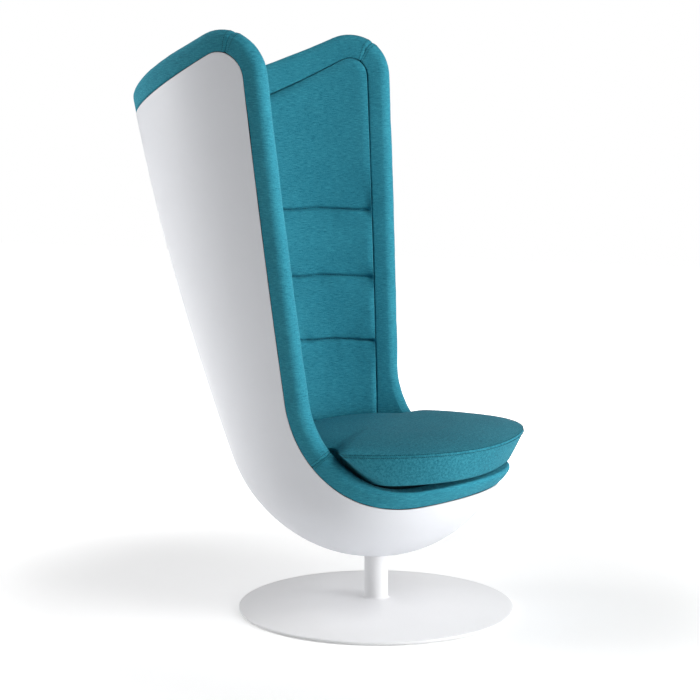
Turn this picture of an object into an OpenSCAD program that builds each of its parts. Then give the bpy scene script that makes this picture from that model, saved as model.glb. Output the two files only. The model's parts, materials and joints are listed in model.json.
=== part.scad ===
// High-back pod lounge chair on a round swivel base.
// The origin is on the floor at the swivel axis. +Z is up and the sitter faces -Y.
// Angles round the pod start at the middle of the back and turn towards +X.

/* [Base] */
// Diameter of the round base plate
base_d = 700; // [560:5:800]
// Thickness of the base plate at its edge
base_edge_t = 6.5; // [4:0.5:10]
// Rise of the plate's domed top from its edge to its centre
base_dome_h = 20; // [8:1:24]
// Thickness of the protective sheet under the plate
underlay_t = 1.5; // [1:0.5:3]
// How far the sheet stays inside the plate's edge
underlay_inset = 6; // [2:1:20]
// Diameter of the access hole in the middle of the plate
access_d = 40; // [36:1:46]

/* [Column] */
// Outside diameter of the column tube
column_d = 60.3; // [56:0.1:70]
// Wall of the column tube
column_wall = 3; // [2:0.5:4]
// Leg of the weld round the foot of the column
weld_leg = 4.6; // [3:0.1:6]
// Diameter of the swivel shaft
shaft_d = 30; // [24:1:34]
// Running clearance between the shaft and its bushes, on the radius
shaft_clearance = 0.05; // [0.02:0.01:0.08]
// Height of each bush
bush_h = 25; // [15:1:30]
// Thickness of the thrust washer on top of the column
thrust_t = 2; // [1.5:0.5:3]
// Thickness of the collar that carries the shell
collar_t = 3.7; // [3:0.1:6]

/* [Shell] */
// Height of the underside of the shell above the floor
shell_bottom_z = 145; // [140:1:180]
// Wall of the moulded shell
shell_t = 8; // [6:0.5:10]
// Half width of the shell at the height where its sides become straight
side_r = 308; // [295:1:325]
// Height where the sides become straight
side_knee_z = 344; // [335:1:360]
// Outward lean of the sides
side_lean = 9.8; // [8:0.1:11]
// Reach of the back behind the swivel axis where it becomes straight
back_r = 366; // [355:1:380]
// Height where the back becomes straight
back_knee_z = 402; // [390:1:415]
// Backward lean of the back
back_lean = 20.7; // [19:0.1:22]
// Reach of the bowl in front of the swivel axis
front_r = 373; // [362:1:385]
// Height where the bowl's front would become upright
front_knee_z = 605; // [585:1:625]
// Radius of the slight inward curve of the sides, seen from the front
side_line_r = 12200; // [9000:100:20000]
// Radius of the slight inward curve of the back, seen from the side
back_line_r = 4630; // [4000:10:6000]

/* [Opening] */
// Height of the front edge of the shell
front_edge_z = 338; // [330:1:345]
// Fall of the front edge towards the back
front_fall = 8.5; // [6:0.5:10]
// Radius of the sweep from the front edge up into the wings
sweep_r = 275; // [255:1:290]
// Distance of the wing's edge behind the axis, at the height below
wing_y = 105; // [98:1:115]
// Height at which the wing's edge is measured
wing_z = 500; // [480:5:520]
// Backward lean of the wing's edge
wing_lean = 4.35; // [3.5:0.05:5]
// Radius of the rounded tip of each wing
tip_r = 64; // [52:1:76]
// Height of the shell's top edge at the middle of the back
back_top_z = 1231; // [1200:1:1250]
// Fall of the top edge from the wings to the back
top_fall = 25.5; // [24:0.1:27]

/* [Padded rim] */
// Thickness of the padded rim, across the shell's edge
rim_t = 50; // [44:1:52]
// Height past the shell's edge where the rim's outer face starts to round over
rim_outer_h = 23; // [18:1:30]
// Height of the rim's crown past the shell's edge, on the wings
rim_crown_h = 48; // [44:1:54]
// How much higher the crown stands along the top of the back
top_swell = 16; // [0:1:20]
// Height where the rim's inner face starts to round over
rim_inner_h = 25; // [20:1:32]
// Height of the rim's outer corner along the front
front_outer_h = 49; // [46:1:53]
// Height of the rim's inner corner along the front
front_inner_h = 30; // [26:1:34]
// How far the rim swells outwards along the front
front_bulge = 8; // [0:1:10]
// How far the rim reaches back inside the shell's edge
rim_back = 10; // [6:1:14]

/* [Upholstery] */
// Thickness of the felt liner bonded inside the shell
liner_t = 7; // [4:1:8]
// Thickness of the back pad at the middle of a channel
pad_t = 42; // [34:1:44]
// How deep the pad's seams draw it in
pad_seam_depth = 13; // [6:1:18]
// Height of the lowest pad seam
pad_seam_z = 645; // [630:5:660]
// Distance between the lower and the middle pad seam
pad_low_step = 168; // [150:2:180]
// Distance between the middle and the upper pad seam
pad_high_step = 177; // [160:2:190]
// Height of the pad's bottom edge
pad_bottom_z = 448; // [444:1:456]
// How much lower the pad's bottom edge lies at its middle
pad_sag = 24; // [0:1:30]

/* [Seat] */
// Height of the plywood seat board's underside
board_z = 284; // [278:1:290]
// Thickness of the seat board
board_t = 14; // [12:1:16]
// Height of the foam seat base's top at the front of the bowl
seat_base_z = 389; // [387:1:391]
// Fall of the seat base towards the back
seat_fall = 2; // [1:0.1:3]
// Thickness of the loose cushion at its front edge
cushion_edge_h = 76; // [68:1:80]
// Fall of the cushion's top towards the back
cushion_fall = 1.6; // [1:0.1:3]
// Radius of the extra fall of the cushion's top behind the wings' edge
cushion_rear_r = 1450; // [1200:25:2400]
// Crown of the loose cushion above its edge
cushion_crown_h = 19; // [8:1:22]
// Half width of the cushion in front of the wings
cushion_front_w = 335; // [325:1:338]
// Half width of the cushion between the wings
cushion_rear_w = 258; // [245:1:260]
// Reach of the cushion in front of the swivel axis
cushion_front_y = 368; // [355:1:372]
// Reach of the cushion behind the swivel axis
cushion_rear_y = 306; // [292:1:312]
// Largest height that the loose cushion is lifted to
cushion_lift = 150; // [80:5:200]

/* [Hidden] */

// Overrun of cuts and the clearance between seated pieces
cut = 1;
seat_gap = 0.3;
snug_gap = 0.05;
round_fn = 96;

// Base and column
base_r = base_d / 2;
plate_bottom_z = underlay_t;
plate_edge_z = plate_bottom_z + base_edge_t;
plate_top_z = plate_edge_z + base_dome_h;
plate_seat_margin = 2;
plate_seat_r = column_d / 2 + weld_leg + plate_seat_margin;
plate_chamfer = 1.2;
dome_steps = 16;
flange_w = 34;
column_r = column_d / 2;
column_bore_r = column_r - column_wall;
shaft_r = shaft_d / 2;
collar_z = shell_bottom_z - collar_t;
thrust_z = collar_z - seat_gap - thrust_t;
thrust_outer_inset = 0.8;
bush_r = column_bore_r - snug_gap;
bush_bore_r = shaft_r + shaft_clearance;
shaft_end_gap = 12;
shaft_bottom_z = plate_top_z + shaft_end_gap;
bush_end_play = 0.5;
lower_bush_z = shaft_bottom_z + bush_end_play;
upper_bush_z = thrust_z - bush_h;

// Retaining screw at the lower end of the shaft
end_washer_t = 3;
end_washer_r = 24;
end_screw_r = 5;
end_screw_l = 25;
end_head_r = 8.5;
end_head_h = 6.4;

// Hub spigot, mounting plate and its bolts inside the shell
spigot_r = 25.5;
shell_hole_r = 27;
hole_margin = 6;
shell_seat_r = column_r + hole_margin;
boss_h = 22;
boss_z = shell_bottom_z + boss_h;
mount_plate_r = 78;
mount_plate_t = 6;
plate_bolt_count = 4;
plate_bolt_pcd = 32;
plate_bolt_r = 4;
plate_bolt_l = 18;
plate_bolt_head_r = 6.5;
plate_bolt_head_h = 5;
plate_washer_r = 7.6;
plate_washer_t = 1.6;
shell_screw_pcd = 126;
shell_screw_r = 2.5;
shell_screw_l = 14;
shell_screw_head_r = 5.5;
shell_screw_head_h = 3;
hole_gap = 0.5;

// Pod sections: exponent of the upright profile and of the rear half of each section
bowl_power = 2.12;
back_power = 2.22;
centre_lean = 5.84;

// Height and angle steps of the surface probes
probe = 0.5;
probe_deg = 0.5;

// Mesh counts of the pod
bowl_rows = 11;
front_steps = 8;
sweep_steps = 16;
level_steps = 5;
fan_rows = 5;
wing_steps = level_steps + fan_rows;
arc_rows = 5;
corner_steps = 3;
tip_steps = arc_rows + corner_steps;
top_steps = 14;
settle_rounds = 6;

// Share of the sweep, from the front, where the side seams lie, and where the shell's grids meet
seam_share = 0.62;
tip_share_left = 0.6;
tip_share_right = 0.8;
full_turn = 360;
join_share = 0.5;

// Edge profile between the shell and the rim
profile_t = 1;
profile_gap = 0.7;
profile_inset = 1;
profile_w = 6;
rim_start = profile_gap + profile_t + seat_gap;
rim_flush = 0.8;
oval_power = 2.15;
front_turn_from_deg = 88;
front_turn_to_deg = 125;
rim_low_z = 385;
rim_full_z = 430;
swell_from_deg = 84;
swell_to_deg = 44;

// Layers inside the shell, as depths from its outside
pad_gap = 1.1;
liner_d = shell_t + seat_gap + seat_gap;
pad_d = liner_d + liner_t + pad_gap;
pad_edge_t = 24;
pad_round = 34;
layer_gap = 1;
layer_off = -rim_back - layer_gap;
liner_off = -1.5;
liner_bottom_z = 396;
pad_seams_z = [pad_seam_z, pad_seam_z + pad_low_step, pad_seam_z + pad_low_step + pad_high_step];
fan_z = pad_seams_z[2];

// Seat pieces
ledge_h = 26;
ledge_w = 40;
ledge_gap = 1.5;
board_inset = shell_t + 3;
board_screw_count = 6;
board_screw_r = 2.2;
board_screw_l = 30;
board_screw_head_r = 4.6;
board_screw_head_h = 3;
board_screw_inset = 30;
base_inset = 58;
function seat_plane(y) = seat_base_z - tan(seat_fall) * (y + front_r);
function cushion_low(y) = seat_plane(y) + seat_gap;
cushion_rear_from = 25;
cushion_taper_front = 44;
cushion_taper_side = 30;
cushion_taper_rear = 10;
cushion_neck_z = 430;
cushion_neck_gap = 35;
function cushion_neck_y() = wing_edge_y(cushion_neck_z) - cushion_neck_gap;
cushion_neck_w = 62;
cushion_neck_lean = 86;
cushion_power = 2.4;
cushion_bottom_round = 10;
cushion_top_round = 8;
crown_rate = 2.2;
crown_power = 0.5;
crown_shares = [0.008, 0.03, 0.08, 0.16, 0.28, 0.46, 0.7, 0.88];
cushion_angles = concat(
    [for (a = [0 : 9 : 63]) a], [for (a = [68 : 4 : 112]) a], [for (a = [117 : 9 : 243]) a],
    [for (a = [248 : 4 : 292]) a], [for (a = [297 : 9 : 351]) a]
);
zip_t = 1;
zip_w = 9;
zip_half_angle = 42;
zip_cols = 16;

teal = "#1c7a8c";
dark_teal = "#155a68";
shell_white = "#f1f1f3";
steel_grey = "#9a9da0";

// Shared small functions
function signed_pow(v, p) = sign(v) * pow(abs(v), p);
function clamp01(v) = max(0, min(1, v));
function ease(v) = let (u = clamp01(v)) u * u * (3 - 2 * u);
function mix(a, b, s) = a + (b - a) * s;
function unit(v) = v / norm(v);
function flat(lists) = [for (l = lists) each l];
function mirrored(l) = [for (p = l) [-p[0], p[1]]];
function line_meet(p, u, q, v) =
    let (w = q - p, s = (w[0] * v[1] - w[1] * v[0]) / (u[0] * v[1] - u[1] * v[0])) p + s * u;

// Reach of the pod's surface from the axis at height z, at depth d inside its outside
function reach(z, r, knee_z, lean, line_r, d) =
    let (h = z - knee_z,
         low = clamp01(-h / (knee_z - shell_bottom_z - d)),
         straight = r - d + tan(lean) * h - (h > 0 ? h * h / (2 * line_r) : 0))
    straight * pow(max(0, 1 - pow(low, bowl_power)), 1 / bowl_power);
function side_at(z, d = 0) = reach(z, side_r, side_knee_z, side_lean, side_line_r, d);
function back_at(z, d = 0) = reach(z, back_r, back_knee_z, back_lean, back_line_r, d);
function front_at(z, d = 0) = reach(z, front_r, front_knee_z, 0, side_line_r, d);
function centre_at(z) = tan(centre_lean) * max(0, z - front_knee_z);

// Point of the pod's surface at height z and angle a
function wall(z, a, d = 0) =
    let (s = sin(a), c = cos(a), yc = centre_at(z), x = side_at(z, d))
    c >= 0
        ? [x * signed_pow(s, 2 / back_power), yc + (back_at(z, d) - yc) * pow(c, 2 / back_power), z]
        : [x * s, yc + (front_at(z, d) + yc) * c, z];

// Angle of the surface point that has this y at height z
function angle_at(y, z) =
    let (yc = centre_at(z))
    y >= yc
        ? acos(pow(clamp01((y - yc) / (back_at(z) - yc)), back_power / 2))
        : acos(max(-1, (y - yc) / (front_at(z) + yc)));

// Side view of the opening: three lines, a sweep and a tip arc, all as [y, z]
front_p = [-front_at(front_edge_z), front_edge_z];
front_u = [cos(front_fall), -sin(front_fall)];
front_n = [sin(front_fall), cos(front_fall)];
wing_p = [wing_y, wing_z];
wing_u = [sin(wing_lean), cos(wing_lean)];
wing_n = [-cos(wing_lean), sin(wing_lean)];
top_p = [back_at(back_top_z), back_top_z];
top_u = [cos(top_fall), -sin(top_fall)];
top_n = [sin(top_fall), cos(top_fall)];
sweep_c = line_meet(front_p + sweep_r * front_n, front_u, wing_p + sweep_r * wing_n, wing_u);
tip_c = line_meet(wing_p - tip_r * wing_n, wing_u, top_p - tip_r * top_n, top_u);
sweep_a0 = -90 - front_fall;
sweep_a1 = -wing_lean;
tip_a0 = 180 - wing_lean;
tip_a1 = 90 - top_fall;
function sweep_pt(a, off = 0) = sweep_c + (sweep_r - off) * [cos(a), sin(a)];
function tip_pt(a, off = 0) = tip_c + (tip_r + off) * [cos(a), sin(a)];

// y of the wing's edge at height z, moved outwards by off; a pad's edge runs straight on down
function wing_edge_y(z, off = 0, straight = false) =
    let (low = sweep_pt(sweep_a1, off), high = tip_pt(tip_a0, off))
    z < low[1] && !straight ? sweep_c[0] + sqrt(max(0, pow(sweep_r - off, 2) - pow(z - sweep_c[1], 2)))
    : z < high[1] ? low[0] + (z - low[1]) * tan(wing_lean)
    : tip_c[0] - sqrt(max(0, pow(tip_r + off, 2) - pow(z - tip_c[1], 2)));
function side_angle(z, off = 0, straight = false) = angle_at(wing_edge_y(z, off, straight), z);

// Height where an edge line crosses the surface at angle a, found by settling
function settle(z, a, p, fall, rounds) =
    rounds <= 0 ? z : settle(p[1] - tan(fall) * (wall(z, a)[1] - p[0]), a, p, fall, rounds - 1);
function front_line(a) = settle(front_p[1], a, front_p, front_fall, settle_rounds);
function top_line(a, off = 0) =
    let (p = top_p + off * top_n) settle(p[1], a, p, top_fall, settle_rounds);
function edge_point(p) = [angle_at(p[0], p[1]), p[1]];

// The half of the opening's edge at +X, from the front's middle to the back's, as [angle, z]
front_a = edge_point(sweep_pt(sweep_a0))[0];
top_a = edge_point(tip_pt(tip_a1))[0];
half_edge = concat(
    [for (i = [0 : front_steps - 1]) let (a = mix(180, front_a, i / front_steps)) [a, front_line(a)]],
    [for (i = [0 : sweep_steps]) edge_point(sweep_pt(mix(sweep_a0, sweep_a1, i / sweep_steps)))],
    [for (i = [1 : wing_steps - 1])
        edge_point(mix(sweep_pt(sweep_a1), tip_pt(tip_a0), i / wing_steps))],
    [for (i = [0 : arc_rows - 1]) edge_point(tip_pt(mix(tip_a0, 90, i / arc_rows)))],
    [for (i = [0 : corner_steps]) edge_point(tip_pt(mix(90, tip_a1, i / corner_steps)))],
    [for (i = [1 : top_steps]) let (a = top_a * (1 - i / top_steps)) [a, top_line(a)]]
);
half_n = len(half_edge);
seam_i = front_steps + round(sweep_steps * seam_share);
arc_i = front_steps + sweep_steps + wing_steps;
tip_left_i = arc_i + round(arc_rows * tip_share_left);
tip_right_i = arc_i + round(arc_rows * tip_share_right);
back_i = half_n - 1;
function loop_edge(i) =
    let (j = (i + 3 * back_i) % (2 * back_i) - back_i)
    j < 0 ? let (e = half_edge[-j]) [-e[0], e[1]] : half_edge[j];
function loop_pt(i) = let (e = loop_edge(i)) wall(e[1], e[0]);

// Inward normal of the pod's surface, and a point placed by depth and by height past the edge
function inward(e) = unit(cross(
    wall(e[1], e[0] + probe_deg) - wall(e[1], e[0] - probe_deg),
    wall(e[1] + probe, e[0]) - wall(e[1] - probe, e[0])));
function past_edge(i, deep, high) =
    let (n = inward(loop_edge(i)), t = unit(loop_pt(i + 1) - loop_pt(i - 1)))
    loop_pt(i) + n * deep + unit(cross(t, n)) * high;

// Angle of a point that lies near the pod's surface, and a point that far back inside the edge
function near_angle(p) =
    let (yc = centre_at(p[2]), back = p[1] >= yc, k = back ? back_power / 2 : 1,
         y = (p[1] - yc) / (back ? back_at(p[2]) - yc : front_at(p[2]) + yc))
    atan2(signed_pow(p[0] / side_at(p[2]), k), signed_pow(y, k));
function behind_edge(i, deep, back) =
    let (p = past_edge(i, 0, -back)) wall(p[2], near_angle(p), deep);

// Section of the padded rim as [depth, height past the edge]; the turn is 1 along the front
rim_inner_n = liner_d + liner_t + pad_gap;
function oval(from, to, s) = [
    mix(from[0], to[0], pow(s[0], 2 / oval_power)), mix(from[1], to[1], pow(s[1], 2 / oval_power))];
rim_turns = [0, 22, 45, 68];
wing_section = concat(
    [[rim_flush, mix(rim_start, rim_outer_h, 0.5)]],
    [for (a = rim_turns) oval([rim_t / 2, rim_outer_h], [rim_flush, rim_crown_h], [cos(a), sin(a)])],
    [for (a = rim_turns)
        oval([rim_t / 2, rim_inner_h], [rim_t, rim_crown_h], [sin(a), cos(a)])],
    [[rim_t, rim_inner_h]]
);
front_section = [
    [rim_flush - front_bulge * 0.6, front_outer_h * 0.35],
    [rim_flush - front_bulge * 0.9, front_outer_h * 0.6],
    [rim_flush - front_bulge, front_outer_h * 0.8],
    [rim_flush - front_bulge * 0.8, front_outer_h * 0.92],
    [rim_flush - front_bulge * 0.2, front_outer_h],
    [rim_t * 0.2, mix(front_outer_h, front_inner_h, 0.25)],
    [rim_t * 0.42, mix(front_outer_h, front_inner_h, 0.5)],
    [rim_t * 0.66, mix(front_outer_h, front_inner_h, 0.75)],
    [rim_t * 0.88, front_inner_h], [rim_t, front_inner_h * 0.6]
];
function rim_section(turn, swell) = concat(
    [[rim_inner_n, rim_start], [rim_flush, rim_start]],
    [for (i = [0 : len(wing_section) - 1]) mix(wing_section[i] + [0, swell], front_section[i], turn)]
);
function back_reach(i) =
    let (p = loop_pt(i), q = loop_pt(i + 1) - loop_pt(i - 1), u = unit([q[1], q[2]]),
         gap = wing_edge_y(p[2], 0, true) - p[1] + rim_back,
         share = ease((p[2] - rim_low_z) / (rim_full_z - rim_low_z)))
    p[2] > sweep_pt(sweep_a1)[1] || p[2] < rim_low_z ? rim_back
        : mix(rim_back, gap / (abs(u[1]) + tan(wing_lean) * abs(u[0])), share);
function turn_at(i) =
    ease((abs(loop_edge(i)[0]) - front_turn_from_deg) / (front_turn_to_deg - front_turn_from_deg));
function swell_at(i) =
    top_swell * ease((swell_from_deg - abs(loop_edge(i)[0])) / (swell_from_deg - swell_to_deg));

// Closed solid from rings of equal length; ends are capped, or joined when closed is true
module ring_solid(rings, closed = false) {
    n = len(rings[0]);
    m = len(rings);
    last = closed ? m - 1 : m - 2;
    sides = [for (i = [0 : last], j = [0 : n - 1])
        let (k = (i + 1) % m, l = (j + 1) % n)
        each [[i * n + j, k * n + l, k * n + j], [i * n + j, i * n + l, k * n + l]]];
    caps = closed ? [] : [
        for (j = [1 : n - 2]) [0, j + 1, j],
        for (j = [1 : n - 2]) [(m - 1) * n, (m - 1) * n + j, (m - 1) * n + j + 1]
    ];
    polyhedron(points = flat(rings), faces = concat(sides, caps), convexity = 10);
}

module rim(from, to) {
    ring_solid([for (i = [from : to]) concat(
        [for (p = rim_section(turn_at(i), swell_at(i))) past_edge(i, p[0], p[1])],
        [for (n = [rim_t, rim_inner_n]) behind_edge(i, n, back_reach(i))])]);
}

// Grid of [angle, z] over the back and wings: level rows up to the last of zs, then a fan
function top_row(off, cols) = concat(
    [for (i = [0 : corner_steps]) edge_point(tip_pt(mix(90, tip_a1, i / corner_steps), off))],
    let (a1 = edge_point(tip_pt(tip_a1, off))[0])
    [for (i = [1 : cols]) let (a = a1 * (1 - i / cols)) [a, top_line(a, off)]]
);
function grid_shares(off, cols) =
    let (half = [for (e = top_row(off, cols)) [e[0] / side_angle(e[1], off), e[1]]])
    concat(mirrored(half), [for (i = [len(half) - 2 : -1 : 0]) half[i]]);
function grid_heights(off, zs) =
    let (z0 = zs[len(zs) - 1], z1 = tip_pt(tip_a0, off)[1], top = tip_c[1] + tip_r + off)
    concat(
        [for (i = [1 : fan_rows]) (mix(z0, z1, i / fan_rows) - z0) / (top - z0)],
        [for (i = [1 : arc_rows])
            (tip_pt(mix(tip_a0, 90, i / arc_rows), off)[1] - z0) / (top - z0)]
    );
function wing_grid(off, zs, cols) =
    let (shares = grid_shares(off, cols), z0 = zs[len(zs) - 1])
    concat(
        [for (z = zs) [for (c = shares) [c[0] * side_angle(z, off), z]]],
        [for (t = grid_heights(off, zs))
            [for (c = shares) let (z = mix(z0, c[1], t)) [c[0] * side_angle(z, off), z]]]
    );

// Closed slab between two grids of points with the same rows and columns
module slab(outer, inner) {
    rows = len(outer);
    cols = len(outer[0]);
    n = rows * cols;
    rim_ids = concat(
        [for (j = [0 : cols - 1]) j],
        [for (i = [1 : rows - 1]) i * cols + cols - 1],
        [for (j = [cols - 2 : -1 : 0]) (rows - 1) * cols + j],
        [for (i = [rows - 2 : -1 : 1]) i * cols]
    );
    m = len(rim_ids);
    faces = concat(
        [for (i = [0 : rows - 2], j = [0 : cols - 2])
            let (a = i * cols + j, b = a + 1, c = b + cols, d = a + cols)
            each [[a, b, c], [a, c, d], [n + a, n + c, n + b], [n + a, n + d, n + c]]],
        [for (k = [0 : m - 1])
            let (a = rim_ids[k], b = rim_ids[(k + 1) % m])
            each [[a, n + b, b], [a, n + a, n + b]]]
    );
    polyhedron(points = concat(flat(outer), flat(inner)), faces = faces, convexity = 12);
}
function on_wall(grid, d) = [for (row = grid) [for (e = row) wall(e[1], e[0], d)]];

module base_underlay() {
    color("#33363a") cylinder(r = base_r - underlay_inset, h = underlay_t, $fn = round_fn);
}

function dome_z(r) = let (dr = (base_r * base_r + base_dome_h * base_dome_h) / (2 * base_dome_h))
    plate_top_z - dr + sqrt(dr * dr - r * r);

module base_disc() {
    color(shell_white) rotate_extrude($fn = round_fn) polygon(concat(
        [for (i = [0 : dome_steps])
            let (r = mix(access_d / 2, base_r - flange_w, i / dome_steps))
            [r, dome_z(r) - base_edge_t]],
        [[base_r - flange_w, plate_bottom_z], [base_r - plate_chamfer, plate_bottom_z]],
        [[base_r, plate_bottom_z + plate_chamfer], [base_r, plate_edge_z - plate_chamfer]],
        [for (i = [dome_steps : -1 : 0])
            let (r = mix(plate_seat_r, base_r - plate_chamfer, i / dome_steps)) [r, dome_z(r)]],
        [[plate_seat_r, plate_top_z], [access_d / 2, plate_top_z]]
    ));
}

module column_tube() {
    color(shell_white) difference() {
        translate([0, 0, plate_top_z])
            cylinder(r = column_r, h = thrust_z - plate_top_z, $fn = round_fn);
        translate([0, 0, plate_top_z - cut])
            cylinder(r = column_bore_r, h = thrust_z - plate_top_z + 2 * cut, $fn = round_fn);
    }
}

module column_weld() {
    color(shell_white) rotate_extrude($fn = round_fn) polygon([
        [column_r, plate_top_z], [column_r + weld_leg, plate_top_z],
        [column_r + weld_leg / 3, plate_top_z + weld_leg / 3], [column_r, plate_top_z + weld_leg]
    ]);
}

module bush(z) {
    color("#d8d2c0") difference() {
        translate([0, 0, z]) cylinder(r = bush_r, h = bush_h, $fn = round_fn);
        translate([0, 0, z - cut]) cylinder(r = bush_bore_r, h = bush_h + 2 * cut, $fn = round_fn);
    }
}

module lower_bush() { bush(lower_bush_z); }

module upper_bush() { bush(upper_bush_z); }

module thrust_washer() {
    color("#26282b") difference() {
        translate([0, 0, thrust_z])
            cylinder(r = column_r - thrust_outer_inset, h = thrust_t, $fn = round_fn);
        translate([0, 0, thrust_z - cut])
            cylinder(r = bush_bore_r + hole_gap, h = thrust_t + 2 * cut, $fn = round_fn);
    }
}

// Places copies at the corners of the plate's bolt circle
module round_pattern(count, pcd) {
    for (i = [0 : count - 1]) rotate([0, 0, full_turn * (i + 0.5) / count])
        translate([pcd / 2, 0, 0]) children();
}

module swivel_hub() {
    color(steel_grey) difference() {
        union() {
            translate([0, 0, shaft_bottom_z])
                cylinder(r = shaft_r, h = collar_z - shaft_bottom_z, $fn = round_fn);
            translate([0, 0, collar_z]) cylinder(r = column_r, h = collar_t, $fn = round_fn);
            translate([0, 0, shell_bottom_z]) cylinder(r = spigot_r, h = boss_h, $fn = round_fn);
        }
        translate([0, 0, shaft_bottom_z - cut])
            cylinder(r = end_screw_r + snug_gap, h = end_screw_l + 2 * cut, $fn = round_fn);
        round_pattern(plate_bolt_count, plate_bolt_pcd)
            translate([0, 0, boss_z - plate_bolt_l])
                cylinder(r = plate_bolt_r + snug_gap, h = plate_bolt_l + cut, $fn = round_fn);
    }
}

module retaining_washer() {
    color(steel_grey) difference() {
        translate([0, 0, shaft_bottom_z - end_washer_t])
            cylinder(r = end_washer_r, h = end_washer_t, $fn = round_fn);
        translate([0, 0, shaft_bottom_z - end_washer_t - cut])
            cylinder(r = end_screw_r + hole_gap, h = end_washer_t + 2 * cut, $fn = round_fn);
    }
}

module retaining_screw() {
    head_z = shaft_bottom_z - end_washer_t - end_head_h;
    color(steel_grey) union() {
        translate([0, 0, head_z]) cylinder(r = end_head_r, h = end_head_h, $fn = 6);
        translate([0, 0, head_z])
            cylinder(r = end_screw_r, h = end_head_h + end_washer_t + end_screw_l, $fn = round_fn);
    }
}

module mounting_plate() {
    color(steel_grey) difference() {
        translate([0, 0, boss_z]) cylinder(r = mount_plate_r, h = mount_plate_t, $fn = round_fn);
        round_pattern(plate_bolt_count, plate_bolt_pcd) translate([0, 0, boss_z - cut])
            cylinder(r = plate_bolt_r + hole_gap, h = mount_plate_t + 2 * cut, $fn = round_fn);
        round_pattern(plate_bolt_count, shell_screw_pcd) translate([0, 0, boss_z - cut])
            cylinder(r = shell_screw_r + hole_gap, h = mount_plate_t + 2 * cut, $fn = round_fn);
    }
}

module plate_washers() {
    z = boss_z + mount_plate_t;
    color(steel_grey) round_pattern(plate_bolt_count, plate_bolt_pcd) difference() {
        translate([0, 0, z]) cylinder(r = plate_washer_r, h = plate_washer_t, $fn = round_fn);
        translate([0, 0, z - cut])
            cylinder(r = plate_bolt_r + hole_gap, h = plate_washer_t + 2 * cut, $fn = round_fn);
    }
}

module plate_bolts() {
    head_z = boss_z + mount_plate_t + plate_washer_t;
    color(steel_grey) round_pattern(plate_bolt_count, plate_bolt_pcd) union() {
        translate([0, 0, head_z])
            cylinder(r = plate_bolt_head_r, h = plate_bolt_head_h, $fn = 6);
        translate([0, 0, boss_z - plate_bolt_l + cut])
            cylinder(r = plate_bolt_r, h = head_z - boss_z + plate_bolt_l, $fn = round_fn);
    }
}

module shell_screws() {
    z = boss_z + mount_plate_t;
    color(steel_grey) round_pattern(plate_bolt_count, shell_screw_pcd) union() {
        translate([0, 0, z])
            cylinder(r = shell_screw_head_r, h = shell_screw_head_h, $fn = round_fn);
        translate([0, 0, z - shell_screw_l])
            cylinder(r = shell_screw_r, h = shell_screw_l + cut, $fn = round_fn);
    }
}

// The shell is one closed mesh: rings up to its front edge, then a grid of the back and wings
join_i = front_steps + round(sweep_steps * join_share);
shell_zs = [for (i = [join_i : front_steps + sweep_steps + level_steps]) half_edge[i][1]];
shell_grid = wing_grid(0, shell_zs, top_steps);
front_cols = concat(
    [for (i = [join_i - 1 : -1 : 0]) half_edge[i]],
    [for (i = [1 : join_i - 1]) [360 - half_edge[i][0], half_edge[i][1]]]
);
ring_cols = concat(shell_grid[0], front_cols);
function ring_rise(i) = 1 - cos(90 * i / (bowl_rows - 1));
first_rise = 1.8;
function bowl_ring(i, d, floor_z) =
    i == 0 ? [for (e = ring_cols) [shell_hole_r * sin(e[0]), shell_hole_r * cos(e[0]), floor_z]]
    : i == 1 ? [for (e = ring_cols) [shell_seat_r * sin(e[0]), shell_seat_r * cos(e[0]), floor_z]]
    : [for (e = ring_cols)
        let (low = shell_bottom_z + d + first_rise,
             z = mix(low, e[1], ring_rise(i - 1)),
             p = wall(z, e[0], d))
        [p[0], p[1], max(z, floor_z)]];
function shell_points(d, floor_z) = concat(
    flat([for (i = [0 : bowl_rows]) bowl_ring(i, d, floor_z)]),
    flat([for (i = [1 : len(shell_grid) - 1]) [for (e = shell_grid[i]) wall(e[1], e[0], d)]])
);

module outer_shell() {
    nc = len(ring_cols);
    kc = len(shell_grid[0]);
    rows = len(shell_grid);
    ring_n = (bowl_rows + 1) * nc;
    n = ring_n + (rows - 1) * kc;
    function id(i, k) = i == 0 ? bowl_rows * nc + k : ring_n + (i - 1) * kc + k;
    edge_ids = concat(
        [for (k = [kc - 1 : nc - 1]) bowl_rows * nc + k],
        [for (i = [0 : rows - 1]) id(i, 0)],
        [for (k = [1 : kc - 1]) id(rows - 1, k)],
        [for (i = [rows - 2 : -1 : 1]) id(i, kc - 1)]
    );
    m = len(edge_ids);
    rings = [for (i = [0 : bowl_rows - 1], j = [0 : nc - 1])
        let (l = (j + 1) % nc) [i * nc + j, i * nc + l, (i + 1) * nc + l, (i + 1) * nc + j]];
    wings = [for (i = [0 : rows - 2], k = [0 : kc - 2])
        [id(i, k), id(i, k + 1), id(i + 1, k + 1), id(i + 1, k)]];
    faces = concat(
        [for (q = concat(rings, wings)) each [
            [q[0], q[1], q[2]], [q[0], q[2], q[3]],
            [n + q[0], n + q[2], n + q[1]], [n + q[0], n + q[3], n + q[2]]
        ]],
        [for (k = [0 : m - 1]) let (a = edge_ids[k], b = edge_ids[(k + 1) % m])
            each [[a, b, n + b], [a, n + b, n + a]]],
        [for (j = [0 : nc - 1]) let (a = j, b = (j + 1) % nc)
            each [[a, n + b, b], [a, n + a, n + b]]]
    );
    color(shell_white) polyhedron(
        points = concat(shell_points(0, shell_bottom_z), shell_points(shell_t, boss_z)),
        faces = faces, convexity = 12);
}

module edge_profile() {
    high = profile_gap + profile_t;
    far = profile_inset + profile_w;
    section = [[profile_inset, profile_gap], [profile_inset, high], [far, high], [far, profile_gap]];
    color("#2b2e31") ring_solid([for (i = [-back_i : back_i - 1])
        [for (p = section) past_edge(i, p[0], p[1])]], closed = true);
}

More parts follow.
